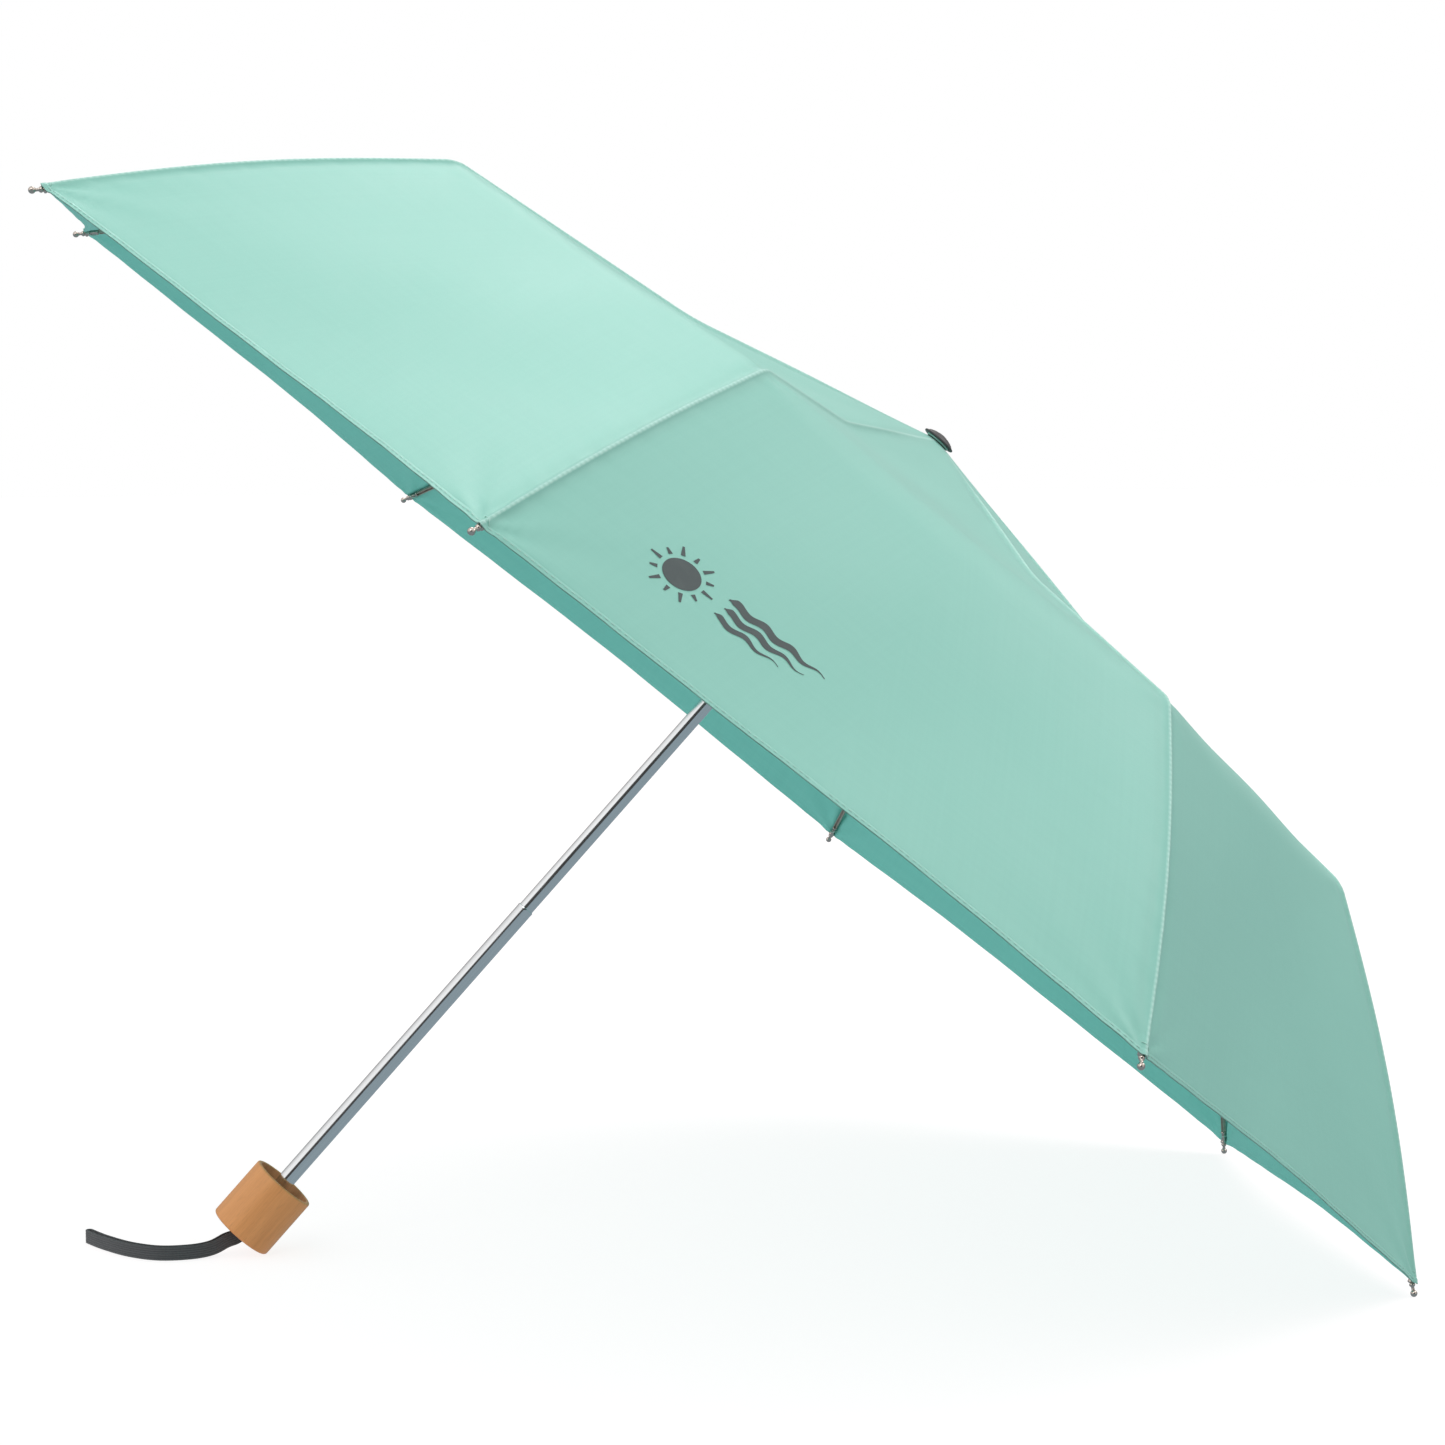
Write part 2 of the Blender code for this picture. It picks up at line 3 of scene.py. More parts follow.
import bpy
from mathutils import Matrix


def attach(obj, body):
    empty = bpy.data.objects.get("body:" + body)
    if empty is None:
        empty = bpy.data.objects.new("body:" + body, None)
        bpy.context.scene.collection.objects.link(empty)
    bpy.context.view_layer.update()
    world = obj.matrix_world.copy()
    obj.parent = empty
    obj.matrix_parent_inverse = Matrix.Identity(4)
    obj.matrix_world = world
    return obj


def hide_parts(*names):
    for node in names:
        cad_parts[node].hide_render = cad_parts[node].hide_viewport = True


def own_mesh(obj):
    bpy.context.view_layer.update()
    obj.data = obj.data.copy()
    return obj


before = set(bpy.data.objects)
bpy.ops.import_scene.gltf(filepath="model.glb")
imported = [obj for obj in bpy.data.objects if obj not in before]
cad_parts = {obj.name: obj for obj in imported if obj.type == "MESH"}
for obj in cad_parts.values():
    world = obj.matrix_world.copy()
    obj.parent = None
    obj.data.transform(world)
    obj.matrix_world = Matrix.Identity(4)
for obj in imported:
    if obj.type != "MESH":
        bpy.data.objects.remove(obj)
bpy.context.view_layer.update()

import math

import bmesh
import bpy
import numpy as np
from mathutils import Matrix, Vector

# The umbrella's own frame, as the CAD lays it out: Z runs up the shaft, zero at the height of the tips
LEAN = math.radians(42.097)
REST_X = -0.2425
SAG = math.radians(2.96)  # how far its weight swings the ribs: the lower ones open, the upper ones close
RIBS = 8
FIRST_RIB = math.radians(22.5)
STEP = 2 * math.pi / RIBS
TIP_RADIUS = 0.480
HINGE_R, HINGE_Z = 0.0066, 0.1985
TOP_ANGLE = math.radians(-13.6)
MIDDLE_ANGLE = math.radians(-7.0)
TOP_LENGTH = 0.160
MIDDLE_LENGTH = 0.1592
PIVOT_OFFSET = 0.0016
FABRIC_LIFT = 0.0039  # the cloth above the ribs' pivots
HEM_LIFT = 0.0020  # the hem's corners above the line to the tips
HEM_BACK = 0.0044  # and how far they stop short of them
APEX_HOLE = 0.0062
HANDLE_RADIUS = 0.0184
HANDLE_TOP, HANDLE_END = -0.3355, -0.3720
EDGE_ROUND = 0.0016

# The cloth
CLOTH = 0.00035  # its thickness
HEM_FOLD = 0.00035  # what the turned-in hem adds to it
HEM_WIDTH = 0.0030
RIB_FOLD = 0.006  # how far the fold at a knee reaches, over a rib
PANEL_FOLDS = (0.016, 0.013, 0.018, 0.015, 0.010, 0.022, 0.016, 0.017)  # and in the middle of each panel
RIB_SWELL, PANEL_SWELL = 0.0052, 0.0016  # how far the cloth swells out below the knees
PANEL_HOLLOW = 0.0035  # how far a panel sinks above the knees
ROUND_UNTIL, STRAIGHT_FROM = 0.010, 0.030  # radii: round at the crown, straight from rib to rib beyond
HEM_PULL = 0.009  # how far the hem is drawn in between the tips
PULL_FROM, PULL_OVER, PULL_RISE = 0.30, 0.175, 0.09  # where it starts, its reach and its upward share
ROW_GAP, LOWER_ROW_GAP = 0.0045, 0.0042  # between the rows of points where the cloth is flat

# How far the cloth's relief stands out or sinks in
SEAM_RIDGE, SEAM_GROOVE = 0.00085, 0.00060
PUCKER, PUCKER_LENGTH = 0.00014, 0.015
TIP_PULL, KNEE_STRAIN, SOFT_WAVE = 0.00055, 0.00030, 0.0011
HEM_BAND, HEM_WAVE = 0.00030, 0.00018
STITCH_START, STITCH_PITCH, STITCH_LONG, STITCH_HALF = 0.003, 0.0036, 0.0024, 0.00022
STITCH_BACK = HEM_WIDTH - 0.0011

# The print: its panel, its size, and where its middle lies, across the panel and up from the hem
PRINT_PANEL = 5
PRINT_SCALE = 0.73
PRINT_PART, PRINT_UP, PRINT_LIFT = 0.197, 0.054, 0.00016
SUN_DISC, SUN_RAYS = 0.0125, 12
SWELLS = ((0.0095, 0.030, 0.104, 0.0032), (0.0, 0.032, 0.094, 0.0028), (-0.0092, 0.030, 0.080, 0.0024))

# Tips, rivets, thread and edges
BALL_RADIUS, TIP_NECK = 0.00182, 0.0009
THREAD_BACK, THREAD_RADIUS = 0.0098, 0.00022
RIVET = [(0.0, 0.00178), (0.0004, 0.00174), (0.00075, 0.0016)]
RIVET += [(0.00095, 0.0014), (0.00098, 0.00122), (0.0, 0.00122)]
THIN_BEVEL, THICK_BEVEL = 0.00012, 0.0003

# The wrist strap
STRAP_HEIGHT = 0.0076
STRAP_THICK = 0.0011
STRAP_SPLIT = 0.0017  # from the loop's middle line to the webbing on either side
STRAP_CORDS, STRAP_SWELL = 9, 0.00011

# The stage. The camera's angles are its turn to the right, its dip and its roll.
FLOOR_HALF = 30.0
SKY_STRENGTH = 1.08
CAMERA_AT = (-0.22384, -1.93042, 0.43852)
CAMERA_TURNS = (6.9227, 4.4681, 0.329)
CAMERA_LENS = 88.654
LAMPS = (
    ("key", (-1.0, -2.2, 2.1), (0.0, 0.0, 0.3), 1.4, 14.0),
    ("back_top", (0.4, 1.3, 2.5), (0.0, 0.0, 0.4), 1.5, 14.0),
    ("right_top", (2.3, 0.5, 1.9), (0.0, 0.0, 0.3), 1.5, 14.0),
)


def lying_matrix():
    """From the umbrella's own frame to the row frame: leaning, with the handle's lower edge on the floor."""
    lean = Matrix.Rotation(LEAN, 4, "Y")
    low = lean @ Vector((HANDLE_RADIUS - EDGE_ROUND, 0.0, HANDLE_END + EDGE_ROUND))
    return Matrix.Translation((REST_X - low.x, 0.0, EDGE_ROUND - low.z)) @ lean


LYING = lying_matrix()
LYING_NP = np.array(LYING)
SHAFT_DOWN = Vector((-math.sin(LEAN), 0.0, -math.cos(LEAN)))


def to_row(points):
    """Points of the umbrella's own frame, in the row frame."""
    return np.asarray(points) @ LYING_NP[:3, :3].T + LYING_NP[:3, 3]


def rib_angle(rib):
    return FIRST_RIB + STEP * rib


# ---- materials


class Nodes:
    """A short way to build one material's node tree."""

    def __init__(self, name):
        self.material = bpy.data.materials.new(name)
        self.material.use_nodes = True
        self.tree = self.material.node_tree
        self.shader = self.tree.nodes["Principled BSDF"]

    def add(self, kind, settings=None, **inputs):
        """A new node. Its inputs go by name, or by number as i0, i1 and so on."""
        node = self.tree.nodes.new(kind)
        for key, value in (settings or {}).items():
            setattr(node, key, value)
        for key, value in inputs.items():
            numbered = key[0] == "i" and key[1:].isdigit()
            socket = int(key[1:]) if numbered else key.replace("_", " ")
            self.put(node.inputs[socket], value)
        return node

    def put(self, socket, value):
        if isinstance(value, bpy.types.NodeSocket):
            self.tree.links.new(value, socket)
        else:
            socket.default_value = value

    def math(self, operation, first, second=0.0):
        return self.add("ShaderNodeMath", {"operation": operation}, i0=first, i1=second).outputs[0]

    def weighted(self, *pairs):
        """The sum of values, each multiplied by its weight."""
        total = self.math("MULTIPLY", *pairs[0])
        for value, weight in pairs[1:]:
            total = self.math("ADD", total, self.math("MULTIPLY", value, weight))
        return total

    def ramp(self, value, low, high, out_low=0.0, out_high=1.0):
        limits = {"i1": low, "i2": high, "i3": out_low, "i4": out_high}
        return self.add("ShaderNodeMapRange", {"clamp": True}, i0=value, **limits).outputs[0]

    def mix(self, share, first, second):
        node = self.add("ShaderNodeMix", {"data_type": "RGBA"}, Factor=share)
        self.put(node.inputs[6], first if isinstance(first, bpy.types.NodeSocket) else (*first, 1.0))
        self.put(node.inputs[7], second if isinstance(second, bpy.types.NodeSocket) else (*second, 1.0))
        return node.outputs[2]

    def noise(self, vector, scale, detail):
        node = self.add("ShaderNodeTexNoise", Vector=vector, Scale=scale, Detail=detail, Roughness=0.5)
        return node.outputs["Fac"]

    def wave(self, vector, scale, direction):
        settings = {"wave_type": "BANDS", "bands_direction": direction, "wave_profile": "SIN"}
        node = self.add("ShaderNodeTexWave", settings, Vector=vector, Scale=scale, Distortion=0.0)
        return node.outputs["Fac"]

    def place(self, scale=(1.0, 1.0, 1.0), source="Object", turn=(0.0, 0.0, 0.0)):
        """Coordinates that are turned first and scaled after that."""
        coordinates = self.add("ShaderNodeTexCoord").outputs[source]
        if any(turn):
            coordinates = self.add("ShaderNodeMapping", Vector=coordinates, Rotation=turn).outputs[0]
        return self.add("ShaderNodeMapping", Vector=coordinates, Scale=scale).outputs[0]

    def bump(self, height, strength, distance):
        node = self.add("ShaderNodeBump", Height=height, Strength=strength, Distance=distance)
        self.tree.links.new(node.outputs[0], self.shader.inputs["Normal"])

    def finish(self, **sockets):
        for key, value in sockets.items():
            if isinstance(value, tuple) and len(value) == 3:
                value = (*value, 1.0)
            self.put(self.shader.inputs[key.replace("_", " ")], value)
        return self.material


ALONG_SHAFT = (0.0, -LEAN, 0.0)  # turns row coordinates so that Z runs up the shaft


def fabric(name, colour, deep, sheen, rough, seam=None):
    """Fine plain-woven polyester: crossed threads, faint streaks from uneven yarn and soft clouding."""
    n = Nodes(name)
    cloth = n.place(source="UV")
    weave = n.math("ADD", n.wave(cloth, 900.0, "X"), n.wave(cloth, 900.0, "Y"))
    yarn = n.noise(n.place((420.0, 9.0, 1.0), "UV"), 1.0, 2.0)
    cross = n.noise(n.place((9.0, 420.0, 1.0), "UV"), 1.0, 2.0)
    cloud = n.noise(n.place(), 9.0, 3.0)
    share = n.ramp(n.weighted((yarn, 0.4), (cross, 0.4), (cloud, 0.5)), 0.45, 0.85)
    base = n.mix(share, deep, colour)
    if seam:
        # the sewn line over each rib, where the cloth is doubled: a painted highlight on its ridge, broken up
        # by the stitches, and painted shade in a band beside it, where the cloth drapes over the rib
        away = n.math("ABSOLUTE", n.add("ShaderNodeSeparateXYZ", Vector=cloth).outputs["X"])
        stitch = n.ramp(n.wave(cloth, 100.0, "Y"), 0.2, 0.8, 0.45, 0.85)
        ridge = n.math("MULTIPLY", n.ramp(away, 0.0006, 0.0017, 1.0, 0.0), stitch)
        base = n.mix(n.ramp(away, 0.0015, 0.0120, 0.16, 0.0), base, tuple(0.6 * part for part in deep))
        base = n.mix(ridge, base, seam)
    n.bump(n.weighted((weave, 0.5), (cloud, 2.0)), 0.25, 0.0002)
    return n.finish(
        Base_Color=base, Roughness=n.ramp(cloud, 0.3, 0.7, rough - 0.05, rough + 0.05),
        Sheen_Weight=sheen, Sheen_Roughness=0.45, Specular_IOR_Level=1.0,
    )


def brushed(name, colour, dark, rough, metallic=1.0):
    """Drawn or plated metal, with faint scratches, dull patches and grime in the low places."""
    n = Nodes(name)
    scratch = n.noise(n.place((1500.0, 1500.0, 60.0), turn=ALONG_SHAFT), 1.0, 3.0)
    patch = n.noise(n.place(), 160.0, 4.0)
    share = n.ramp(n.weighted((scratch, 0.35), (patch, 0.65)), 0.36, 0.6)
    n.bump(scratch, 0.12, 0.0001)
    return n.finish(
        Base_Color=n.mix(share, dark, colour), Metallic=metallic,
        Roughness=n.ramp(patch, 0.3, 0.7, rough - 0.05, rough + 0.08),
    )


def polished(name, colour, rough):
    """Polished chrome plate with hairlines and a few fingermarks."""
    n = Nodes(name)
    line = n.noise(n.place((2200.0, 2200.0, 16.0), turn=ALONG_SHAFT), 1.0, 2.0)
    mark = n.noise(n.place(), 42.0, 4.0)
    n.bump(line, 0.03, 0.00005)
    shade = tuple(0.93 * part for part in colour)
    return n.finish(
        Base_Color=n.mix(n.ramp(line, 0.35, 0.65), shade, colour), Metallic=1.0,
        Roughness=n.ramp(mark, 0.42, 0.72, rough, rough + 0.06),
    )


def wood(name, light, dark, rough):
    """Lacquered beech, its grain running along the handle: broad bands, fine lines and short pores."""
    n = Nodes(name)
    band = n.noise(n.place((150.0, 150.0, 7.0), turn=ALONG_SHAFT), 1.0, 3.0)
    line = n.noise(n.place((1100.0, 1100.0, 22.0), turn=ALONG_SHAFT), 1.0, 3.0)
    pore = n.noise(n.place((2600.0, 2600.0, 160.0), turn=ALONG_SHAFT), 1.0, 1.0)
    base = n.mix(n.ramp(n.weighted((band, 0.62), (line, 0.38)), 0.36, 0.64), dark, light)
    speck = n.ramp(pore, 0.60, 0.68)
    base = n.mix(n.math("MULTIPLY", speck, 0.18), base, tuple(0.55 * part for part in dark))
    n.bump(n.math("SUBTRACT", line, speck), 0.18, 0.00012)
    return n.finish(
        Base_Color=base, Roughness=n.ramp(line, 0.3, 0.7, rough - 0.04, rough + 0.08),
        Coat_Weight=0.15, Coat_Roughness=0.35, Specular_IOR_Level=0.4,
    )


def plastic(name, colour, worn, rough):
    """Moulded plastic with a fine spark-eroded grain, paler where it has been handled."""
    n = Nodes(name)
    grain = n.noise(n.place(), 2600.0, 2.0)
    patch = n.noise(n.place(), 120.0, 3.0)
    n.bump(grain, 0.15, 0.00006)
    return n.finish(
        Base_Color=n.mix(n.ramp(patch, 0.45, 0.75), colour, worn),
        Roughness=n.ramp(patch, 0.3, 0.7, rough - 0.05, rough + 0.1),
    )


def webbing(name, colour, dark):
    """Ribbed flat webbing: cords along its length, with picks across them."""
    n = Nodes(name)
    cords = n.wave(n.place(source="UV"), 260.0, "X")
    picks = n.wave(n.place(source="UV"), 420.0, "Y")
    fuzz = n.noise(n.place(), 1400.0, 3.0)
    high = n.weighted((cords, 0.7), (picks, 0.3))
    share = n.ramp(n.math("ADD", high, n.math("MULTIPLY", fuzz, 0.5)), 0.3, 1.1)
    n.bump(high, 0.5, 0.0003)
    return n.finish(
        Base_Color=n.mix(share, dark, colour), Roughness=0.85, Sheen_Weight=0.25, Sheen_Roughness=0.5,
    )


# the last colour is the painted highlight along the ridge of each rib's seam
MINT = fabric("mint_outside", (0.275, 0.67, 0.56), (0.26, 0.647, 0.54), 0.12, 0.45, (0.50, 0.82, 0.73))
# the inside is the cloth's mint made brighter and more saturated: painted light shining through the cloth
MINT_IN_PAINTED_THROUGH_LIGHT = fabric("mint_inside_painted_through_light", (0.185, 0.72, 0.63), (0.165, 0.685, 0.60), 0.06, 0.60)
THREAD = fabric("thread", (0.42, 0.72, 0.63), (0.30, 0.58, 0.50), 0.20, 0.60)
INK = plastic("print_ink", (0.085, 0.11, 0.11), (0.11, 0.135, 0.135), 0.6)
CHROME = polished("chrome", (0.86, 0.87, 0.88), 0.09)
TIP_METAL = polished("tip_metal", (0.66, 0.58, 0.52), 0.10)
STEEL = brushed("rib_steel", (0.50, 0.465, 0.41), (0.36, 0.33, 0.285), 0.38, 0.55)
NICKEL = brushed("crown_nickel", (0.60, 0.585, 0.56), (0.42, 0.40, 0.38), 0.30)
BLACK = plastic("black_plastic", (0.022, 0.022, 0.024), (0.05, 0.05, 0.052), 0.42)
CAP = plastic("cap_plastic", (0.050, 0.047, 0.048), (0.085, 0.080, 0.080), 0.38)
WOOD = wood("beech_wood", (0.90, 0.40, 0.145), (0.76, 0.32, 0.108), 0.42)
# the bore's wood: a darker, greyer copy of the beech, painted shade inside the cup
WOOD_IN_PAINTED_SHADE = wood("beech_inside_painted_shade", (0.78, 0.37, 0.17), (0.64, 0.29, 0.13), 0.55)
GREY = webbing("grey_webbing", (0.105, 0.11, 0.115), (0.055, 0.06, 0.065))


# ---- mesh helpers


def in_scene(name, data):
    made = bpy.data.objects.new(name, data)
    bpy.context.scene.collection.objects.link(made)
    return made


def add_mesh(name, points, faces, materials, indices=None, uv=None, normals=None):
    """A smooth mesh piece. The uv and the normals go by point, the material indices by face."""
    mesh = bpy.data.meshes.new(name)
    mesh.from_pydata([tuple(p) for p in points], [], [tuple(f) for f in faces])
    for item in materials:
        mesh.materials.append(item)
    if indices is not None:
        mesh.polygons.foreach_set("material_index", np.asarray(indices, np.int32))
    mesh.shade_smooth()
    if uv is not None:
        layer = mesh.uv_layers.new(name="cloth")
        loops = np.empty(len(mesh.loops), np.int32)
        mesh.loops.foreach_get("vertex_index", loops)
        layer.data.foreach_set("uv", np.asarray(uv, np.float32)[loops].ravel())
    if normals is not None:
        mesh.normals_split_custom_set_from_vertices([tuple(v) for v in normals])
    return in_scene(name, mesh)


def lathe_mesh(name, profile, steps, materials, matrix, along="z", closed=True, pick=None, sharp=40.0):
    """Turns (radius, height) pairs about Z, or about X, then moves the result by matrix."""
    work = bmesh.new()
    rings = []
    for radius, height in profile:
        count = steps if radius > 0 else 1
        ring = []
        for k in range(count):
            angle = 2 * math.pi * k / steps
            across, over = radius * math.cos(angle), radius * math.sin(angle)
            ring.append(work.verts.new((across, over, height) if along == "z" else (height, across, over)))
        rings.append(ring)
    pairs = list(zip(rings, rings[1:]))
    if closed:
        pairs.append((rings[-1], rings[0]))
    for number, (first, second) in enumerate(pairs):
        for k in range(steps):
            after = (k + 1) % steps
            if len(first) == 1:
                face = work.faces.new((first[0], second[k], second[after]))
            elif len(second) == 1:
                face = work.faces.new((first[k], second[0], first[after]))
            else:
                face = work.faces.new((first[k], second[k], second[after], first[after]))
            face.smooth = True
            if pick:
                face.material_index = pick(number)
    bmesh.ops.recalc_face_normals(work, faces=work.faces)
    mesh = bpy.data.meshes.new(name)
    work.to_mesh(mesh)
    work.free()
    mesh.transform(matrix)
    for item in materials:
        mesh.materials.append(item)
    mesh.set_sharp_from_angle(angle=math.radians(sharp))
    return in_scene(name, mesh)


def round_corner(centre, radius, start, end, count):
    """(radius, height) pairs along an arc, its angles in degrees."""
    made = []
    for k in range(count + 1):
        angle = math.radians(start + (end - start) * k / count)
        made.append((centre[0] + radius * math.cos(angle), centre[1] + radius * math.sin(angle)))
    return made


# ---- the canopy's shape


def unit(angle):
    return np.array([math.cos(angle), math.sin(angle)])


def end_rib_numbers():
    """The end rib's length and its angle below level, from its knee's pivot to the ball."""
    up = np.array([-math.sin(TOP_ANGLE), math.cos(TOP_ANGLE)])
    middle_up = np.array([-math.sin(MIDDLE_ANGLE), math.cos(MIDDLE_ANGLE)])
    knee = np.array([HINGE_R, HINGE_Z]) + unit(TOP_ANGLE) * TOP_LENGTH + up * PIVOT_OFFSET
    knee = knee + unit(MIDDLE_ANGLE) * MIDDLE_LENGTH - middle_up * 2 * PIVOT_OFFSET
    reach = np.array([TIP_RADIUS, 0.0]) - knee
    length = math.sqrt(reach @ reach - PIVOT_OFFSET**2)
    return length, math.atan2(reach[1], reach[0]) - math.atan2(PIVOT_OFFSET, length)


END_LENGTH, END_ANGLE = end_rib_numbers()


def fabric_corners():
    """The cloth's line over a rib: crown, elbow, knee and hem, as (radius, height)."""
    lift = np.array([math.sin(-TOP_ANGLE), math.cos(TOP_ANGLE)]) * FABRIC_LIFT
    elbow = np.array([HINGE_R, HINGE_Z]) + unit(TOP_ANGLE) * TOP_LENGTH
    knee = elbow + unit(MIDDLE_ANGLE) * MIDDLE_LENGTH
    along = unit(END_ANGLE)
    hem = np.array([TIP_RADIUS, 0.0]) - along * HEM_BACK + np.array([-along[1], along[0]]) * HEM_LIFT
    return [np.array([APEX_HOLE, HINGE_Z + 0.0049]), elbow + lift, knee + lift, hem]


CORNERS = fabric_corners()
LEGS = [float(np.linalg.norm(b - a)) for a, b in zip(CORNERS, CORNERS[1:])]
AT_ELBOW = LEGS[0]
AT_KNEE = LEGS[0] + LEGS[1]
AT_HEM = sum(LEGS)


def on_line(run):
    """A point of the cloth's line, before its corners are rounded."""
    run = np.asarray(run, float)[:, None]
    made = CORNERS[0] + (CORNERS[1] - CORNERS[0]) * run / LEGS[0]
    made = np.where(run > AT_ELBOW, CORNERS[1] + (CORNERS[2] - CORNERS[1]) * (run - AT_ELBOW) / LEGS[1], made)
    return np.where(run > AT_KNEE, CORNERS[2] + (CORNERS[3] - CORNERS[2]) * (run - AT_KNEE) / LEGS[2], made)


def rounded_line(run, reach):
    """The cloth's line with its corners rounded, twice as far at the elbow as at the knee."""
    made = on_line(run)
    for at, corner, width in ((AT_ELBOW, CORNERS[1], 2.0 * reach), (AT_KNEE, CORNERS[2], reach)):
        first, last = on_line([at - width])[0], on_line([at + width])[0]
        t = ((run - at + width) / (2 * width))[:, None]
        bend = (1 - t) ** 2 * first + 2 * t * (1 - t) * corner + t**2 * last
        made = np.where((t > 0) & (t < 1), bend, made)
    return made


def row_runs():
    """How far along the rib each row of the cloth lies, closer together at folds and at the hem."""
    crown = [0.0, 0.0015, 0.0035, 0.006, 0.010, 0.015]
    top = np.arange(0.020, AT_ELBOW - 0.010, ROW_GAP)
    elbow = np.linspace(AT_ELBOW - 0.010, AT_ELBOW + 0.010, 9)
    middle = np.arange(AT_ELBOW + 0.0145, AT_KNEE - 0.022, ROW_GAP)
    knee = np.linspace(AT_KNEE - 0.020, AT_KNEE + 0.020, 25)
    lower = np.arange(AT_KNEE + 0.0245, AT_HEM - 0.014, LOWER_ROW_GAP)
    back = [0.0115, 0.0092, 0.0074, 0.0058, 0.0046]
    back += [HEM_WIDTH + offset for offset in (0.0008, 0.0003, -0.0002, -0.0007)]
    back += [0.0017, 0.0011, 0.0006, 0.0002, 0.0]
    return np.concatenate([crown, top, elbow, middle, knee, lower, AT_HEM - np.array(back)])


# How far across a panel each column of the cloth lies, as a share of its width, up to the middle
HALF_PARTS = [
    0.0, 0.0020, 0.0042, 0.0068, 0.0100, 0.0145, 0.021, 0.031, 0.046, 0.064, 0.086, 0.112, 0.142, 0.176,
    0.214, 0.256, 0.30, 0.35, 0.40, 0.45,
]
PARTS = np.array(HALF_PARTS + [0.5] + [1.0 - part for part in reversed(HALF_PARTS[1:])])
PER_PANEL = len(PARTS)
RUNS = row_runs()
ROWS = len(RUNS)
COLUMNS = RIBS * PER_PANEL


def smooth_step(value, low, high):
    t = np.clip((value - low) / (high - low), 0.0, 1.0)
    return t * t * (3 - 2 * t)


def bell(value, width):
    return np.exp(-((value / width) ** 2))


def panel_width(run):
    """A panel's width at a distance down the rib."""
    return 2 * math.sin(STEP / 2) * (run / AT_HEM * (TIP_RADIUS - APEX_HOLE) + APEX_HOLE)


def panel_line(panel, middle):
    """The cloth's line down a panel, where middle goes from 0 over a rib to 1 halfway between two."""
    line = rounded_line(RUNS, RIB_FOLD + (PANEL_FOLDS[panel] - RIB_FOLD) * min(1.0, middle * 1.2))
    lower = np.clip((RUNS - AT_KNEE) / (AT_HEM - AT_KNEE), 0, 1)
    swell = np.sin(math.pi * lower) * (RIB_SWELL * (1 - middle) + PANEL_SWELL * middle)
    return line + swell[:, None] * np.array([math.sin(-END_ANGLE), math.cos(END_ANGLE)])


def sagged(line, angle):
    """The radii and heights of a line that has swung about the crown's hinge with the rib at that angle."""
    swing = SAG * math.cos(angle)
    over, up = line[:, 0] - HINGE_R, line[:, 1] - HINGE_Z
    radius = HINGE_R + over * math.cos(swing) - up * math.sin(swing)
    height = HINGE_Z + over * math.sin(swing) + up * math.cos(swing)
    return radius, height


def around(radius, angle, height):
    return np.stack([radius * math.cos(angle), radius * math.sin(angle), height], 1)


def cloth_base():
    """The ring of cloth as one surface, with rows down the ribs and columns round the umbrella."""
    grid = np.zeros((ROWS, COLUMNS, 3))
    hollow = PANEL_HOLLOW * np.sin(math.pi * np.clip(RUNS / AT_KNEE, 0, 1)) * smooth_step(RUNS, 0.0, AT_KNEE)
    for panel in range(RIBS):
        left, right = rib_angle(panel), rib_angle(panel + 1)
        for number, part in enumerate(PARTS):
            middle = 4 * part * (1 - part)
            line = panel_line(panel, middle)
            left_radius, left_height = sagged(line, left)
            right_radius, right_height = sagged(line, right)
            first = around(left_radius, left, left_height)
            chord = first + (around(right_radius, right, right_height) - first) * part
            mean = left_radius * (1 - part) + right_radius * part
            circle = around(mean, left + STEP * part, chord[:, 2])
            share = smooth_step(line[:, 0], ROUND_UNTIL, STRAIGHT_FROM)[:, None]
            spot = circle * (1 - share) + chord * share
            spot[:, 2] -= middle * hollow
            pull = HEM_PULL * middle * np.clip((line[:, 0] - PULL_FROM) / PULL_OVER, 0, None) ** 2
            inward = np.stack([-chord[:, 0], -chord[:, 1], np.full(ROWS, PULL_RISE)], 1)
            spot += inward / np.linalg.norm(inward, axis=1)[:, None] * pull[:, None]
            grid[:, panel * PER_PANEL + number] = spot
    return grid


def surface_normals(grid):
    """The outward normal at each point of the ring."""
    round_it = np.roll(grid, -1, 1) - np.roll(grid, 1, 1)
    along = np.gradient(grid, axis=0)
    normal = np.cross(along, round_it)
    return normal / np.maximum(np.linalg.norm(normal, axis=2), 1e-12)[..., None]


def ripple(run, seed, length):
    """An uneven wave along a seam."""
    return (
        np.sin(2 * math.pi * run / length + seed)
        + 0.6 * np.sin(2 * math.pi * run / (0.62 * length) + 2.1 * seed)
        + 0.5 * np.sin(2 * math.pi * run / (1.7 * length) + 0.7 * seed)
    )


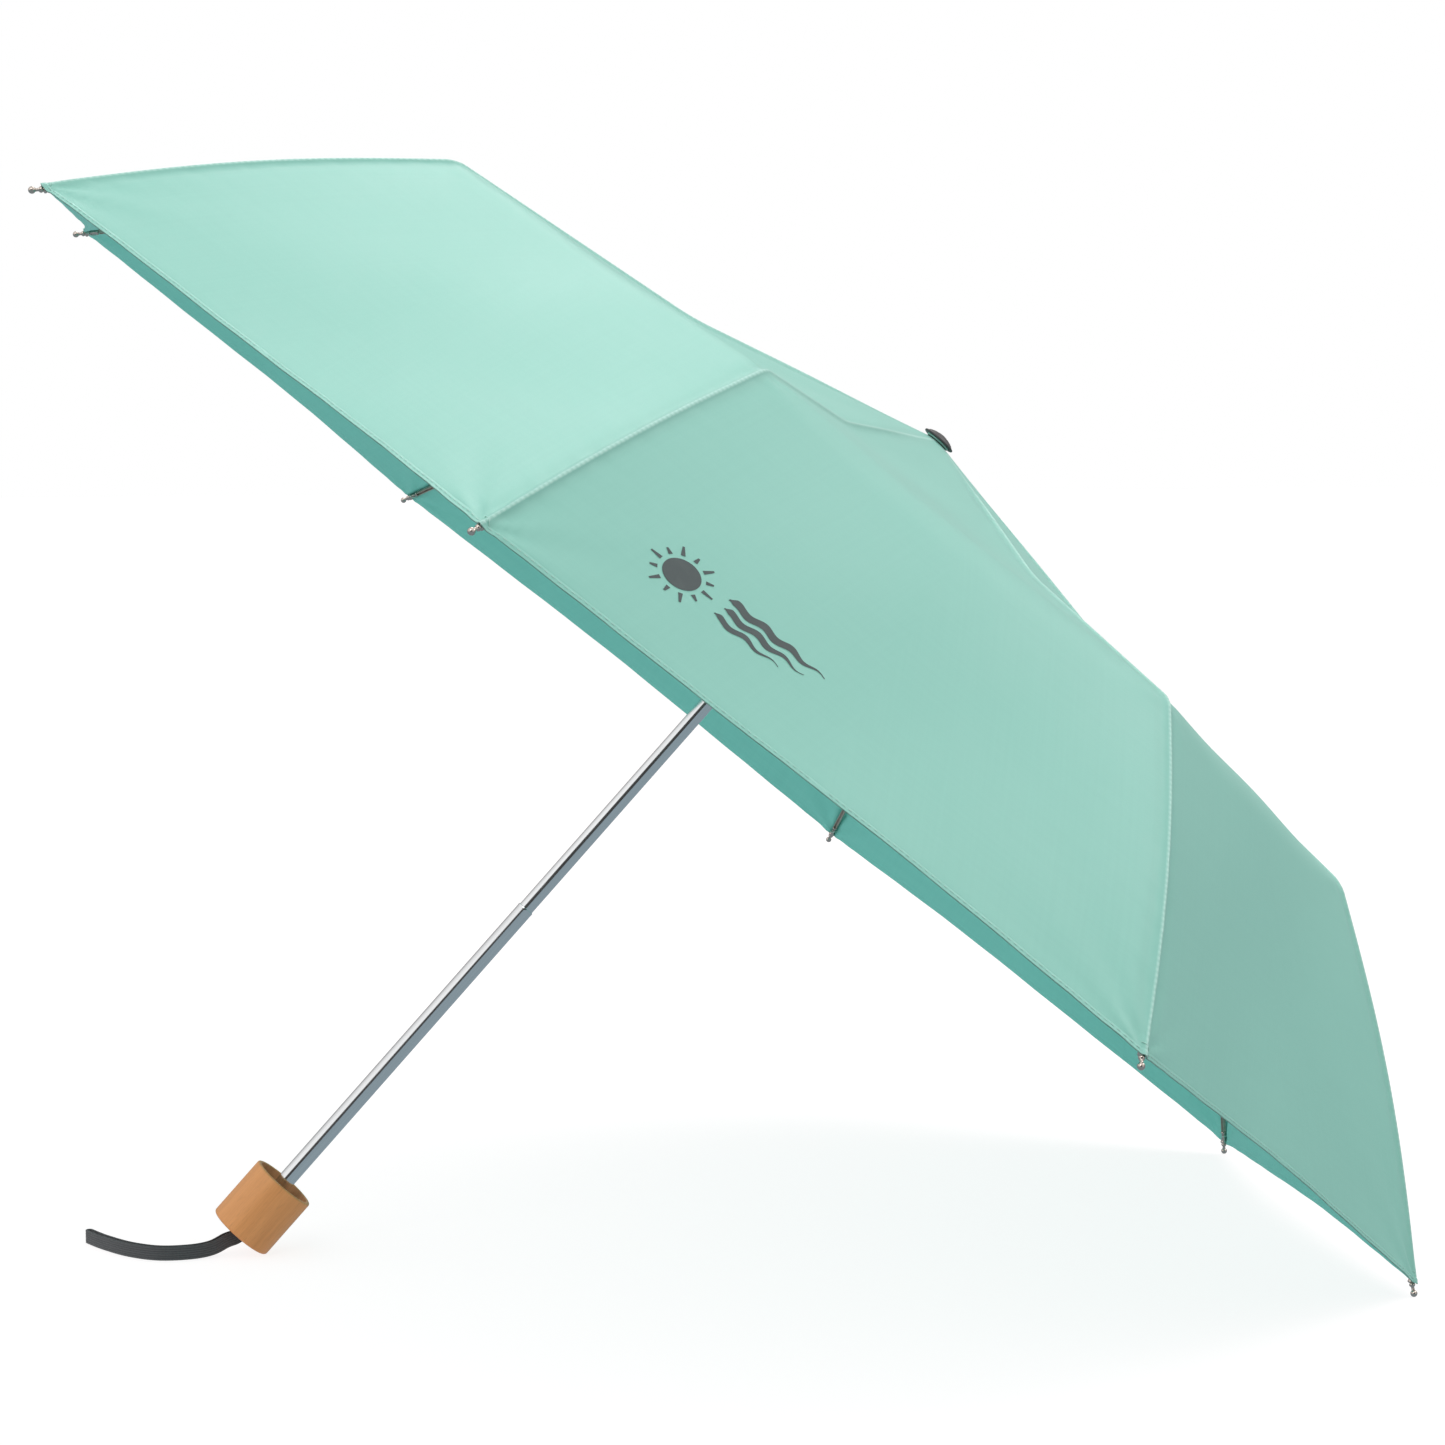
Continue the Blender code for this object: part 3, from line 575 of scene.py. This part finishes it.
def cloth_relief():
    """How far each point stands off the smooth surface: seams, puckers, the hem and the pull at the tips."""
    relief = np.zeros((ROWS, COLUMNS))
    width = panel_width(RUNS)
    hem = AT_HEM - RUNS
    past_knee = RUNS - AT_KNEE
    grown = smooth_step(RUNS, 0.02, 0.10)
    for panel in range(RIBS):
        for number, part in enumerate(PARTS):
            from_left = part <= 0.5
            rib = panel if from_left else panel + 1
            side = 1.0 if from_left else -1.0
            seed = 1.7 * (rib % RIBS) + (0.0 if from_left else 0.9)
            across = min(part, 1 - part) * width
            ridge = SEAM_RIDGE * bell(across, 0.0014) - SEAM_GROOVE * bell(across - 0.0048, 0.0030)
            pucker = PUCKER * ripple(RUNS + 0.3 * across, seed, PUCKER_LENGTH)
            pucker *= np.exp(-across / 0.012) * (1 - np.exp(-across / 0.0015))
            pucker *= 0.6 + 0.9 * smooth_step(RUNS, AT_KNEE, AT_HEM)
            tip = np.hypot(across, hem)
            fan = np.sin(9.0 * np.arctan2(across, hem + 1e-6) + seed)
            pull = TIP_PULL * np.exp(-tip / 0.045) * fan * smooth_step(tip, 0.003, 0.016)
            fan = np.sin(6.0 * np.arctan2(across, past_knee) + side * seed)
            strain = KNEE_STRAIN * np.exp(-np.hypot(across, past_knee) / 0.028) * fan
            strain *= smooth_step(across, 0.001, 0.008)
            wave = np.sin(2 * math.pi * (RUNS / 0.21 + 0.9 * part) + 1.3 * panel)
            soft = SOFT_WAVE * math.sin(math.pi * part) ** 2 * wave * smooth_step(RUNS, 0.04, 0.16)
            relief[:, panel * PER_PANEL + number] = grown * (ridge + pucker) + pull + strain + soft
    band = HEM_BAND * smooth_step(HEM_WIDTH - hem, -0.0003, 0.0003)
    groove = -0.00016 * bell(hem - HEM_WIDTH, 0.0005) - 0.00010 * bell(hem - 0.0012, 0.0004)
    relief += (band + groove)[:, None]
    return relief + HEM_WAVE * np.sin(np.arange(COLUMNS) * 1.9)[None, :] * np.exp(-hem / 0.006)[:, None]


def make_cloth():
    """The cloth's outer side, its inner side and its outward normals, in the umbrella's own frame."""
    base = cloth_base()
    outer = base + surface_normals(base) * cloth_relief()[..., None]
    normal = surface_normals(outer)
    hem = AT_HEM - RUNS
    thick = CLOTH + HEM_FOLD * smooth_step(HEM_WIDTH - hem, -0.0004, 0.0004)
    inner = outer - normal * thick[:, None, None]
    return outer, inner, normal


OUTER, INNER, NORMAL = make_cloth()
NORMAL_ROW = NORMAL @ LYING_NP[:3, :3].T


def goes_with_fold(piece, body):
    """The piece rides on a rib's body, with a mesh of its own."""
    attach(piece, body)
    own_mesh(piece)


def cloth_piece(rib, section, first_row, last_row):
    """The cloth round one rib, from the middle of one panel to the middle of the next, as a closed sheet."""
    half = len(HALF_PARTS)
    columns = [(rib * PER_PANEL + k) % COLUMNS for k in range(-half, half + 1)]
    rows = list(range(first_row, last_row + 1))
    wide, tall = len(columns), len(rows)
    pick = np.ix_(rows, columns)
    outer, inner = to_row(OUTER[pick].reshape(-1, 3)), to_row(INNER[pick].reshape(-1, 3))
    normal = NORMAL_ROW[pick].reshape(-1, 3)
    count = wide * tall
    faces, kinds = [], []
    for row in range(tall - 1):
        for column in range(wide - 1):
            a = row * wide + column
            quad = (a, a + wide, a + wide + 1, a + 1)
            faces += [quad, tuple(count + k for k in reversed(quad))]
            kinds += [0, 1]
    edge = list(range(wide))
    edge += [row * wide + wide - 1 for row in range(1, tall)]
    edge += [(tall - 1) * wide + k for k in range(wide - 2, -1, -1)]
    edge += [row * wide for row in range(tall - 2, 0, -1)]
    for a, b in zip(edge, edge[1:] + edge[:1]):
        faces.append((a, b, count + b, count + a))
        kinds.append(0)
    spread = np.linalg.norm(OUTER[pick] - OUTER[np.ix_(rows, [columns[half]])], axis=2)
    spread = spread * np.sign(np.arange(wide) - half)
    uv = np.stack([spread.ravel(), np.repeat(RUNS[rows], wide)], 1)
    # the inner side takes the inside colour, whose saturation is painted light coming through the cloth
    piece = add_mesh(
        f"canopy_{section}_{rib + 1}", np.concatenate([outer, inner]), faces, [MINT, MINT_IN_PAINTED_THROUGH_LIGHT], kinds,
        np.concatenate([uv, uv]), np.concatenate([normal, -normal]),
    )
    goes_with_fold(piece, f"{section}_rib_{rib + 1}")
    return piece


def nearest_row(run):
    return int(np.argmin(np.abs(RUNS - run)))


def add_canopy():
    elbow, knee = nearest_row(AT_ELBOW), nearest_row(AT_KNEE)
    for rib in range(RIBS):
        piece = cloth_piece(rib, "top", 0, elbow)
        if rib == 0:
            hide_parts("canopy")
        cloth_piece(rib, "middle", elbow, knee)
        cloth_piece(rib, "end", knee, ROWS - 1)


def on_cloth(run, column, lift):
    """Points just off the cloth's outer side, at distances down the rib and fractional columns."""
    row = np.interp(run, RUNS, np.arange(ROWS))
    above = np.floor(row).astype(int).clip(0, ROWS - 2)
    before = np.floor(column).astype(int)
    down, over = (row - above)[:, None], (column - before)[:, None]
    left, right = before % COLUMNS, (before + 1) % COLUMNS
    made = []
    for grid in (OUTER, NORMAL):
        upper = grid[above, left] * (1 - over) + grid[above, right] * over
        lower = grid[above + 1, left] * (1 - over) + grid[above + 1, right] * over
        made.append(upper * (1 - down) + lower * down)
    return to_row(made[0] + made[1] * np.asarray(lift)[:, None])


def part_column(panel, part):
    """The fractional column that lies a share of the way across a panel."""
    marks = np.append(PARTS, 1.0)
    return panel * PER_PANEL + np.interp(part, marks, np.arange(PER_PANEL + 1))


def flat_shape(outline, panel, part_at, run_at, lift):
    """A flat outline in metres, laid on the cloth of a panel. Returns the points in the row frame."""
    run = run_at - outline[:, 1]
    column = part_column(panel, part_at + outline[:, 0] / panel_width(run))
    return on_cloth(run, column, np.full(len(outline), lift))


def add_hem_stitches():
    """A line of lockstitch along each panel's hem, in the pieces that go with the ribs."""
    half_hem = TIP_RADIUS * math.sin(STEP / 2)
    along = STITCH_LONG * np.array([0.0, 0.25, 0.75, 1.0])
    high = np.array([-0.00005, 0.00014, 0.00014, -0.00005])
    runs = np.full(len(along), AT_HEM - STITCH_BACK)
    for rib in range(RIBS):
        points, faces = [], []
        for side in (-1, 1):
            panel = rib if side > 0 else (rib - 1) % RIBS
            for k in range(int((half_hem - 0.004) / STITCH_PITCH)):
                part = (STITCH_START + k * STITCH_PITCH + along) / (2 * half_hem)
                column = part_column(panel, part if side > 0 else 1 - part)
                first = len(points)
                upper = on_cloth(runs - STITCH_HALF, column, high)
                lower = on_cloth(runs + STITCH_HALF, column, high)
                under = on_cloth(runs, column, high - 0.0002)
                for trio in zip(upper, lower, under):
                    points += [tuple(p) for p in trio]
                for step in range(3):
                    a = first + 3 * step
                    for u, v in ((0, 1), (1, 2), (2, 0)):
                        faces.append((a + u, a + v, a + 3 + v, a + 3 + u))
                faces.append((first + 2, first + 1, first))
                faces.append((first + 9, first + 10, first + 11))
        piece = add_mesh(f"hem_stitches_{rib + 1}", points, faces, [THREAD])
        goes_with_fold(piece, f"end_rib_{rib + 1}")


def sun_outlines():
    """A plain sun with rays over three swells, as flat outlines in metres. It says nothing."""
    round_angles = np.linspace(0, 2 * math.pi, 48, endpoint=False)
    shapes = [[(SUN_DISC * math.cos(a), SUN_DISC * math.sin(a)) for a in round_angles]]
    for k in range(SUN_RAYS):
        c, s = math.cos(2 * math.pi * k / SUN_RAYS), math.sin(2 * math.pi * k / SUN_RAYS)
        near, far = 0.0155, 0.0232 if k % 2 == 0 else 0.0205
        ray = [(near, -0.0015), (far, -0.0007), (far, 0.0007), (near, 0.0015)]
        shapes.append([(x * c - y * s, x * s + y * c) for x, y in ray])
    for number, (height, start, stop, heavy) in enumerate(SWELLS):
        xs = np.linspace(start, stop, 60)
        wave = height + 0.0016 * np.sin(2 * math.pi * (xs - start) / 0.021 + 0.4 * number)
        half = heavy * np.clip((xs - start) / 0.004, 0.25, 1) * np.clip((stop - xs) / 0.030, 0.12, 1)
        shapes.append([*zip(xs, wave - half), *zip(xs[::-1], (wave + half)[::-1])])
    return shapes


def add_print():
    """The sun mark, printed on the panel that faces the front."""
    work = bmesh.new()
    for outline in sun_outlines():
        face = work.faces.new([work.verts.new((x, y, 0.0)) for x, y in outline])
        face.normal_update()
    bmesh.ops.triangulate(work, faces=work.faces)
    bmesh.ops.subdivide_edges(work, edges=[e for e in work.edges if e.calc_length() > 0.006], cuts=1)
    bmesh.ops.triangulate(work, faces=work.faces)
    work.verts.ensure_lookup_table()
    flat = PRINT_SCALE * np.array([(v.co.x, v.co.y) for v in work.verts])
    faces = [tuple(v.index for v in f.verts) for f in work.faces]
    work.free()
    points = flat_shape(flat, PRINT_PANEL, PRINT_PART, AT_HEM - PRINT_UP, PRINT_LIFT)
    piece = add_mesh("sun_print", points, faces, [INK])
    goes_with_fold(piece, f"end_rib_{PRINT_PANEL + 1}")


# ---- ribs, tips and hub


def next_length(before, length, up, turn):
    """The frame of the rib length that turns on the far end of the one before."""
    return before @ Matrix.Translation((length, 0.0, up)) @ Matrix.Rotation(turn, 4, "Y")


def rib_frames(rib):
    """The rest frames of a rib's three lengths, in the row frame."""
    angle = rib_angle(rib)
    sag = SAG * math.cos(angle)
    hinge = LYING @ Matrix.Rotation(angle, 4, "Z") @ Matrix.Translation((HINGE_R, 0.0, HINGE_Z))
    top = hinge @ Matrix.Rotation(-TOP_ANGLE - sag, 4, "Y")
    middle = next_length(top, TOP_LENGTH, PIVOT_OFFSET, TOP_ANGLE - MIDDLE_ANGLE)
    end = next_length(middle, MIDDLE_LENGTH, -2 * PIVOT_OFFSET, MIDDLE_ANGLE - END_ANGLE)
    return top, middle, end


def tip_profile():
    """The crimped sleeve, collar, bead, thin neck and ball, as (radius, place along the rib)."""
    outline = (
        (0.0, 0.0137), (0.0014, 0.0137), (0.00165, 0.0134), (0.00165, 0.0127), (0.0013, 0.0124),
        (0.00125, 0.0100), (0.00135, 0.0078), (0.0015, 0.0074), (0.0020, 0.0068), (0.0020, 0.0061),
        (0.0014, 0.0057), (0.0011, 0.0054), (0.0015, 0.0049), (0.0016, 0.0044), (0.0014, 0.0038),
        (0.0009, 0.0034), (0.0008, 0.0027), (TIP_NECK, 0.0019),
    )
    made = [(radius, END_LENGTH - back) for radius, back in outline]
    first = math.acos(TIP_NECK / BALL_RADIUS)
    for k in range(10):
        angle = -first + (first + math.pi / 2) * k / 10
        made.append((BALL_RADIUS * math.cos(angle), END_LENGTH + BALL_RADIUS * math.sin(angle)))
    return [*made, (0.0, END_LENGTH + BALL_RADIUS)]


def tube_along(name, line, radius, material, sides):
    """A thin mesh tube along a line of points."""
    points, faces = [], []
    up = Vector((0.3, 0.5, 0.8)).normalized()
    for k, point in enumerate(line):
        ahead = (line[min(k + 1, len(line) - 1)] - line[max(k - 1, 0)]).normalized()
        side = ahead.cross(up).normalized()
        over = side.cross(ahead).normalized()
        for n in range(sides):
            angle = 2 * math.pi * n / sides
            points.append(point + side * radius * math.cos(angle) + over * radius * math.sin(angle))
    for k in range(len(line) - 1):
        for n in range(sides):
            a, b = k * sides + n, k * sides + (n + 1) % sides
            faces.append((a, b, b + sides, a + sides))
    faces.append(tuple(reversed(range(sides))))
    faces.append(tuple(range((len(line) - 1) * sides, len(line) * sides)))
    return add_mesh(name, points, faces, [material])


def add_tip(number, pivot):
    """A ball tip on its sleeve, and the thread that ties the cloth's corner to it."""
    tip = lathe_mesh(
        f"ball_tip_{number}", tip_profile(), 28, [TIP_METAL], pivot, along="x", closed=False, sharp=50.0
    )
    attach(tip, f"end_rib_{number}")
    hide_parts(f"rib_tip_{number}")
    loop = []
    for k in range(26):
        angle = 2 * math.pi * k / 25
        reach = 0.0017 + 0.0012 * (1 + math.cos(angle)) / 2
        along = END_LENGTH - THREAD_BACK + 0.0016 * math.sin(angle)
        loop.append(pivot @ Vector((along, reach * math.sin(angle), reach * math.cos(angle))))
    thread = tube_along(f"tip_thread_{number}", loop, THREAD_RADIUS, THREAD, 6)
    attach(thread, f"end_rib_{number}")


def add_rib_details():
    """The tips, and a rivet head on both sides of each elbow and knee."""
    for rib in range(RIBS):
        number = rib + 1
        top, middle, end = rib_frames(rib)
        add_tip(number, end @ Matrix.Translation((0.0, 0.0, PIVOT_OFFSET)))
        for name, body, place, at in (
            ("elbow", "top_rib", top, (TOP_LENGTH, 0.0, PIVOT_OFFSET)),
            ("knee", "middle_rib", middle, (MIDDLE_LENGTH, 0.0, -2 * PIVOT_OFFSET)),
        ):
            for side, turn in (("left", -math.pi / 2), ("right", math.pi / 2)):
                where = place @ Matrix.Translation(at) @ Matrix.Rotation(turn, 4, "X")
                rivet = lathe_mesh(f"{name}_rivet_{side}_{number}", RIVET, 14, [NICKEL], where, closed=False)
                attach(rivet, f"{body}_{number}")


def add_cap():
    """The low cap: a dome with a rolled rim, a ring groove and a flat button, over a washer of cloth."""
    profile = [(0.0, 0.2047), (0.0088, 0.2047), *round_corner((0.0091, 0.2053), 0.0006, -90, 90, 8)]
    profile += [(0.0088, 0.20600), (0.0084, 0.2063), (0.0075, 0.2070), (0.0060, 0.2077), (0.0046, 0.20815)]
    profile += [(0.0035, 0.20835), (0.0032, 0.2081), (0.0029, 0.2081), (0.0027, 0.2086), (0.0018, 0.20875)]
    profile += [(0.0, 0.2088)]
    piece = lathe_mesh("cap_dome", profile, 72, [CAP], LYING, closed=False, sharp=60.0)
    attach(piece, "crown_set")
    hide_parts("top_cap")
    washer = lathe_mesh("cap_washer", round_corner((0.0068, 0.2044), 0.0005, 0, 324, 9), 40, [MINT], LYING)
    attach(washer, "crown_set")


# ---- shaft and handle


def tube_profile(outer, inner, low, high, lip):
    """A thin tube whose upper end is rolled inwards over the next one."""
    made = [(outer, low + 0.0002), (outer, high - 0.0016)]
    made += [(outer + lip, high - 0.0013), (outer + lip, high - 0.0005), (outer, high - 0.0001)]
    made += [(outer - 0.0002, high), (inner + 0.0001, high - 0.0001), (inner, high - 0.0006), (inner, low)]
    return [*made, (outer - 0.0002, low)]


def add_shaft():
    for name, node, body, numbers in (
        ("shaft_lower", "lower_tube", "handle_set", (0.0047, 0.00435, -0.3660, -0.1366, 0.00006)),
        ("shaft_middle", "middle_tube", "middle_tube", (0.0042, 0.00385, -0.1566, 0.0450, 0.00004)),
        ("shaft_upper", "upper_tube", "crown_set", (0.0037, 0.0033, 0.0250, 0.2010, 0.0)),
    ):
        piece = lathe_mesh(name, tube_profile(*numbers), 72, [CHROME], LYING)
        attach(piece, body)
        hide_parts(node)


def add_handle():
    """The turned cup: a thin rounded rim, a bore darkened with painted shade and softened lower edge."""
    out, top, end = HANDLE_RADIUS, HANDLE_TOP, HANDLE_END
    inner, floor = out - 0.0024, -0.3560
    profile = [(0.0072, end), *round_corner((out - EDGE_ROUND, end + EDGE_ROUND), EDGE_ROUND, -90, 0, 8)]
    profile += [(out, end + 0.010), (out, top - 0.010)]
    profile += round_corner((out - 0.0011, top - 0.0011), 0.0011, 0, 90, 8)
    bore = len(profile) + 3
    profile += round_corner((inner + 0.0006, top - 0.0006), 0.0006, 90, 180, 5)
    profile += [(inner, top - 0.008), (inner, floor + 0.0014)]
    profile += round_corner((inner - 0.0014, floor + 0.0014), 0.0014, 0, -90, 5)
    profile += [(0.0051, floor), (0.0051, -0.3663), (0.0072, -0.3663)]
    # the bore takes the darker copy of the wood, which paints the shade inside it
    piece = lathe_mesh(
        "handle_cup", profile, 112, [WOOD, WOOD_IN_PAINTED_SHADE], LYING, pick=lambda k: 1 if k >= bore else 0, sharp=45.0
    )
    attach(piece, "handle_set")
    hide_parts("wood_handle")


# ---- the wrist strap


def strap_centre(foot):
    """The middle line of the strap's loop: out of the handle's foot, down to the floor and away."""
    z = STRAP_HEIGHT / 2 + 0.0003
    return [
        foot - SHAFT_DOWN * 0.0020, foot + SHAFT_DOWN * 0.0025,
        Vector((foot.x - 0.0075, -0.0015, 0.0080)), Vector((foot.x - 0.0155, -0.0050, z + 0.0008)),
        Vector((foot.x - 0.0267, -0.0095, z)), Vector((foot.x - 0.0434, -0.0098, z)),
        Vector((foot.x - 0.0593, 0.0015, z)), Vector((foot.x - 0.0735, 0.0205, z)),
        Vector((foot.x - 0.0830, 0.0375, z)),
    ]


def smooth_line(points, steps):
    """A Catmull-Rom line through the points."""
    made = []
    for k in range(len(points) - 1):
        before, after = points[max(k - 1, 0)], points[min(k + 2, len(points) - 1)]
        first, second = points[k], points[k + 1]
        for step in range(steps):
            t = step / steps
            square = (2 * before - 5 * first + 4 * second - after) * t**2
            cube = (3 * first - before - 3 * second + after) * t**3
            made.append(0.5 * (2 * first + (second - before) * t + square + cube))
    made.append(points[-1].copy())
    return made


def strap_stations(middle):
    """Each point of the strap's middle line, with its side, its upward edge and its way ahead."""
    spots = []
    start_side = Vector((0.0, -1.0, 0.0))
    start_up = Vector((SHAFT_DOWN.z, 0.0, -SHAFT_DOWN.x))
    for k, point in enumerate(middle):
        along = (middle[min(k + 1, len(middle) - 1)] - middle[max(k - 1, 0)]).normalized()
        side = Vector((along.y, -along.x, 0.0))
        side = start_side if side.length < 1e-4 else side.normalized()
        if side.dot(start_side) < 0:
            side = -side
        share = min(1.0, (point - middle[0]).length / 0.012)
        side = start_side.lerp(side, share).normalized()
        up = Vector((0.0, 0.0, 1.0)).lerp(start_up, 1.0 - share)
        if up.z < 0:
            up = -up
        up = (up - along * up.dot(along)).normalized()
        spots.append((point, side, up, along))
    return spots


def strap_route(spots):
    """Out along one side of the middle line, round its end and back: point, outward side and upward edge."""
    route = [(point + side * STRAP_SPLIT, side, up) for point, side, up, _ in spots]
    last, side, up, along = spots[-1]
    for k in range(1, 12):
        angle = math.pi * k / 12
        turned = side * math.cos(angle) + along * math.sin(angle)
        route.append((last + turned * STRAP_SPLIT, turned, up))
    return route + [(point - side * STRAP_SPLIT, -side, up) for point, side, up, _ in reversed(spots)]


def strap_section():
    """The webbing's cross-section, its two flat sides ribbed by the cords inside."""
    half, tall = STRAP_THICK / 2, STRAP_HEIGHT / 2
    section = []
    for k in range(STRAP_CORDS * 4 + 1):
        place = -1 + 2 * k / (STRAP_CORDS * 4)
        swell = STRAP_SWELL * math.cos(2 * math.pi * STRAP_CORDS * (place + 1) / 2)
        edge = math.sqrt(max(0.0, 1 - max(0.0, (abs(place) - 0.93) / 0.07) ** 2))
        section.append((half * edge - (swell + STRAP_SWELL) * edge, place * tall))
    return section + [(-across, high) for across, high in reversed(section[1:-1])]


def add_strap():
    """A loop of ribbed webbing that stands on its edge."""
    foot = LYING @ Vector((0.0, 0.0, HANDLE_END))
    route = strap_route(strap_stations(smooth_line(strap_centre(foot), 12)))
    section = strap_section()
    wide = len(section)
    points, faces, uv, run = [], [], [], 0.0
    for k, (point, out, up) in enumerate(route):
        run += (point - route[k - 1][0]).length if k else 0.0
        for across, high in section:
            points.append(point + out * across + up * high)
            uv.append((high, run))
    for k in range(len(route) - 1):
        for n in range(wide):
            a, b = k * wide + n, k * wide + (n + 1) % wide
            faces.append((a, a + wide, b + wide, b))
    faces.append(tuple(range(wide)))
    faces.append(tuple(reversed(range((len(route) - 1) * wide, len(route) * wide))))
    piece = add_mesh("strap_webbing", points, faces, [GREY], uv=uv)
    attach(piece, "handle_set")
    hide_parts("wrist_strap")


# ---- carried-over CAD nodes


def dress_nodes():
    """Gives the CAD nodes that stay in view their finish and a softened edge."""
    finishes = {"crown": NICKEL, "runner": BLACK, "end_plug": BLACK}
    for number in range(1, RIBS + 1):
        for name in ("top_rib", "middle_rib", "end_rib", "stretcher"):
            finishes[f"{name}_{number}"] = STEEL
    for name, finish in finishes.items():
        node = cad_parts[name]
        node.data.materials.clear()
        node.data.materials.append(finish)
        bevel = node.modifiers.new("edges", "BEVEL")
        bevel.width = THIN_BEVEL if finish is STEEL else THICK_BEVEL
        bevel.segments = 2
        bevel.limit_method = "ANGLE"
        bevel.angle_limit = math.radians(40)


# ---- stage, light and camera


def add_floor():
    """A white floor that the camera sees as pale and even, and that metal mirrors as a cool grey."""
    n = Nodes("floor")
    ray = n.add("ShaderNodeLightPath")
    speck = n.noise(n.place(), 3.0, 2.0)
    n.finish(
        Base_Color=n.mix(speck, (0.275, 0.238, 0.243), (0.285, 0.247, 0.252)),
        Roughness=0.9, Specular_IOR_Level=0.0, Emission_Color=(1.0, 1.0, 1.0),
        Emission_Strength=n.ramp(ray.outputs["Is Camera Ray"], 0.0, 1.0, 0.44, 0.84),
    )
    grey = n.add("ShaderNodeEmission", Color=(0.27, 0.34, 0.38, 1.0), Strength=1.0)
    pick = n.add("ShaderNodeMixShader")
    n.put(pick.inputs[0], ray.outputs["Is Glossy Ray"])
    n.put(pick.inputs[1], n.shader.outputs[0])
    n.put(pick.inputs[2], grey.outputs[0])
    n.put(n.tree.nodes["Material Output"].inputs["Surface"], pick.outputs[0])
    size = FLOOR_HALF
    corners = [(-size, -size, 0), (size, -size, 0), (size, size, 0), (-size, size, 0)]
    add_mesh("floor", corners, [(0, 1, 2, 3)], [n.material])


def add_world():
    """Soft light, strongest from the upper left in front, with a dark flag for the metal to mirror."""
    world = bpy.data.worlds.new("studio")
    bpy.context.scene.world = world
    world.use_nodes = True
    tree = world.node_tree
    tree.nodes.clear()
    link = tree.links.new
    direction = tree.nodes.new("ShaderNodeTexCoord").outputs["Generated"]

    def lobe(towards, stops):
        towards = Vector(towards).normalized()
        dot = tree.nodes.new("ShaderNodeVectorMath")
        dot.operation = "DOT_PRODUCT"
        link(direction, dot.inputs[0])
        dot.inputs[1].default_value = towards
        shift = tree.nodes.new("ShaderNodeMapRange")
        shift.inputs["From Min"].default_value = -1.0
        shift.inputs["From Max"].default_value = 1.0
        link(dot.outputs["Value"], shift.inputs["Value"])
        ramp = tree.nodes.new("ShaderNodeValToRGB")
        link(shift.outputs[0], ramp.inputs[0])
        while len(ramp.color_ramp.elements) < len(stops):
            ramp.color_ramp.elements.new(0.5)
        for element, (place, level) in zip(ramp.color_ramp.elements, stops):
            element.position = (place + 1) / 2
            element.color = (level, level, level, 1.0)
        return ramp.outputs[0]

    main = lobe((-0.30, -0.60, 0.74), [(-1.0, 0.10), (-0.4, 0.25), (0.0, 0.50), (0.5, 0.80), (1.0, 1.0)])
    flag = lobe((-0.13, -0.94, 0.26), [(-1.0, 1.0), (0.82, 1.0), (0.87, 0.07), (1.0, 0.05)])
    rear = lobe((0.40, 0.88, 0.25), [(-1.0, 0.0), (0.88, 0.0), (0.97, 0.16), (1.0, 0.16)])

    def combine(blend, first, second):
        node = tree.nodes.new("ShaderNodeMix")
        node.data_type = "RGBA"
        node.blend_type = blend
        node.inputs["Factor"].default_value = 1.0
        link(first, node.inputs[6])
        link(second, node.inputs[7])
        return node.outputs[2]

    soft = tree.nodes.new("ShaderNodeBackground")
    soft.inputs["Strength"].default_value = SKY_STRENGTH
    link(combine("ADD", combine("MULTIPLY", main, flag), rear), soft.inputs[0])
    plain = tree.nodes.new("ShaderNodeBackground")
    plain.inputs[0].default_value = (1.0, 1.0, 1.0, 1.0)
    ray = tree.nodes.new("ShaderNodeLightPath")
    pick = tree.nodes.new("ShaderNodeMixShader")
    link(ray.outputs["Is Camera Ray"], pick.inputs[0])
    link(soft.outputs[0], pick.inputs[1])
    link(plain.outputs[0], pick.inputs[2])
    link(pick.outputs[0], tree.nodes.new("ShaderNodeOutputWorld").inputs[0])


def add_light(name, place, aim, size, power):
    lamp = bpy.data.lights.new(name, "AREA")
    lamp.shape = "DISK"
    lamp.size = size
    lamp.energy = power
    made = in_scene(name, lamp)
    made.location = place
    made.rotation_euler = (Vector(aim) - Vector(place)).to_track_quat("-Z", "Y").to_euler()


def add_camera():
    """The camera that was solved from the photo."""
    lens = bpy.data.cameras.new("camera")
    lens.sensor_width = 36.0
    lens.lens = CAMERA_LENS
    made = in_scene("camera", lens)
    turn, drop, roll = (math.radians(angle) for angle in CAMERA_TURNS)
    ahead = Vector((math.sin(turn) * math.cos(drop), math.cos(turn) * math.cos(drop), -math.sin(drop)))
    right = Vector((math.cos(turn), -math.sin(turn), 0.0))
    up = right.cross(ahead)
    right, up = right * math.cos(roll) - up * math.sin(roll), up * math.cos(roll) + right * math.sin(roll)
    matrix = Matrix((right, up, -ahead)).transposed().to_4x4()
    matrix.translation = CAMERA_AT
    made.matrix_world = matrix
    bpy.context.scene.camera = made


add_camera()
add_strap()
add_canopy()
add_hem_stitches()
add_print()
add_rib_details()
add_cap()
add_shaft()
add_handle()
dress_nodes()
add_floor()
add_world()
for lamp in LAMPS:
    add_light(*lamp)
bpy.context.scene.view_settings.view_transform = "Standard"

bpy.context.view_layer.update()
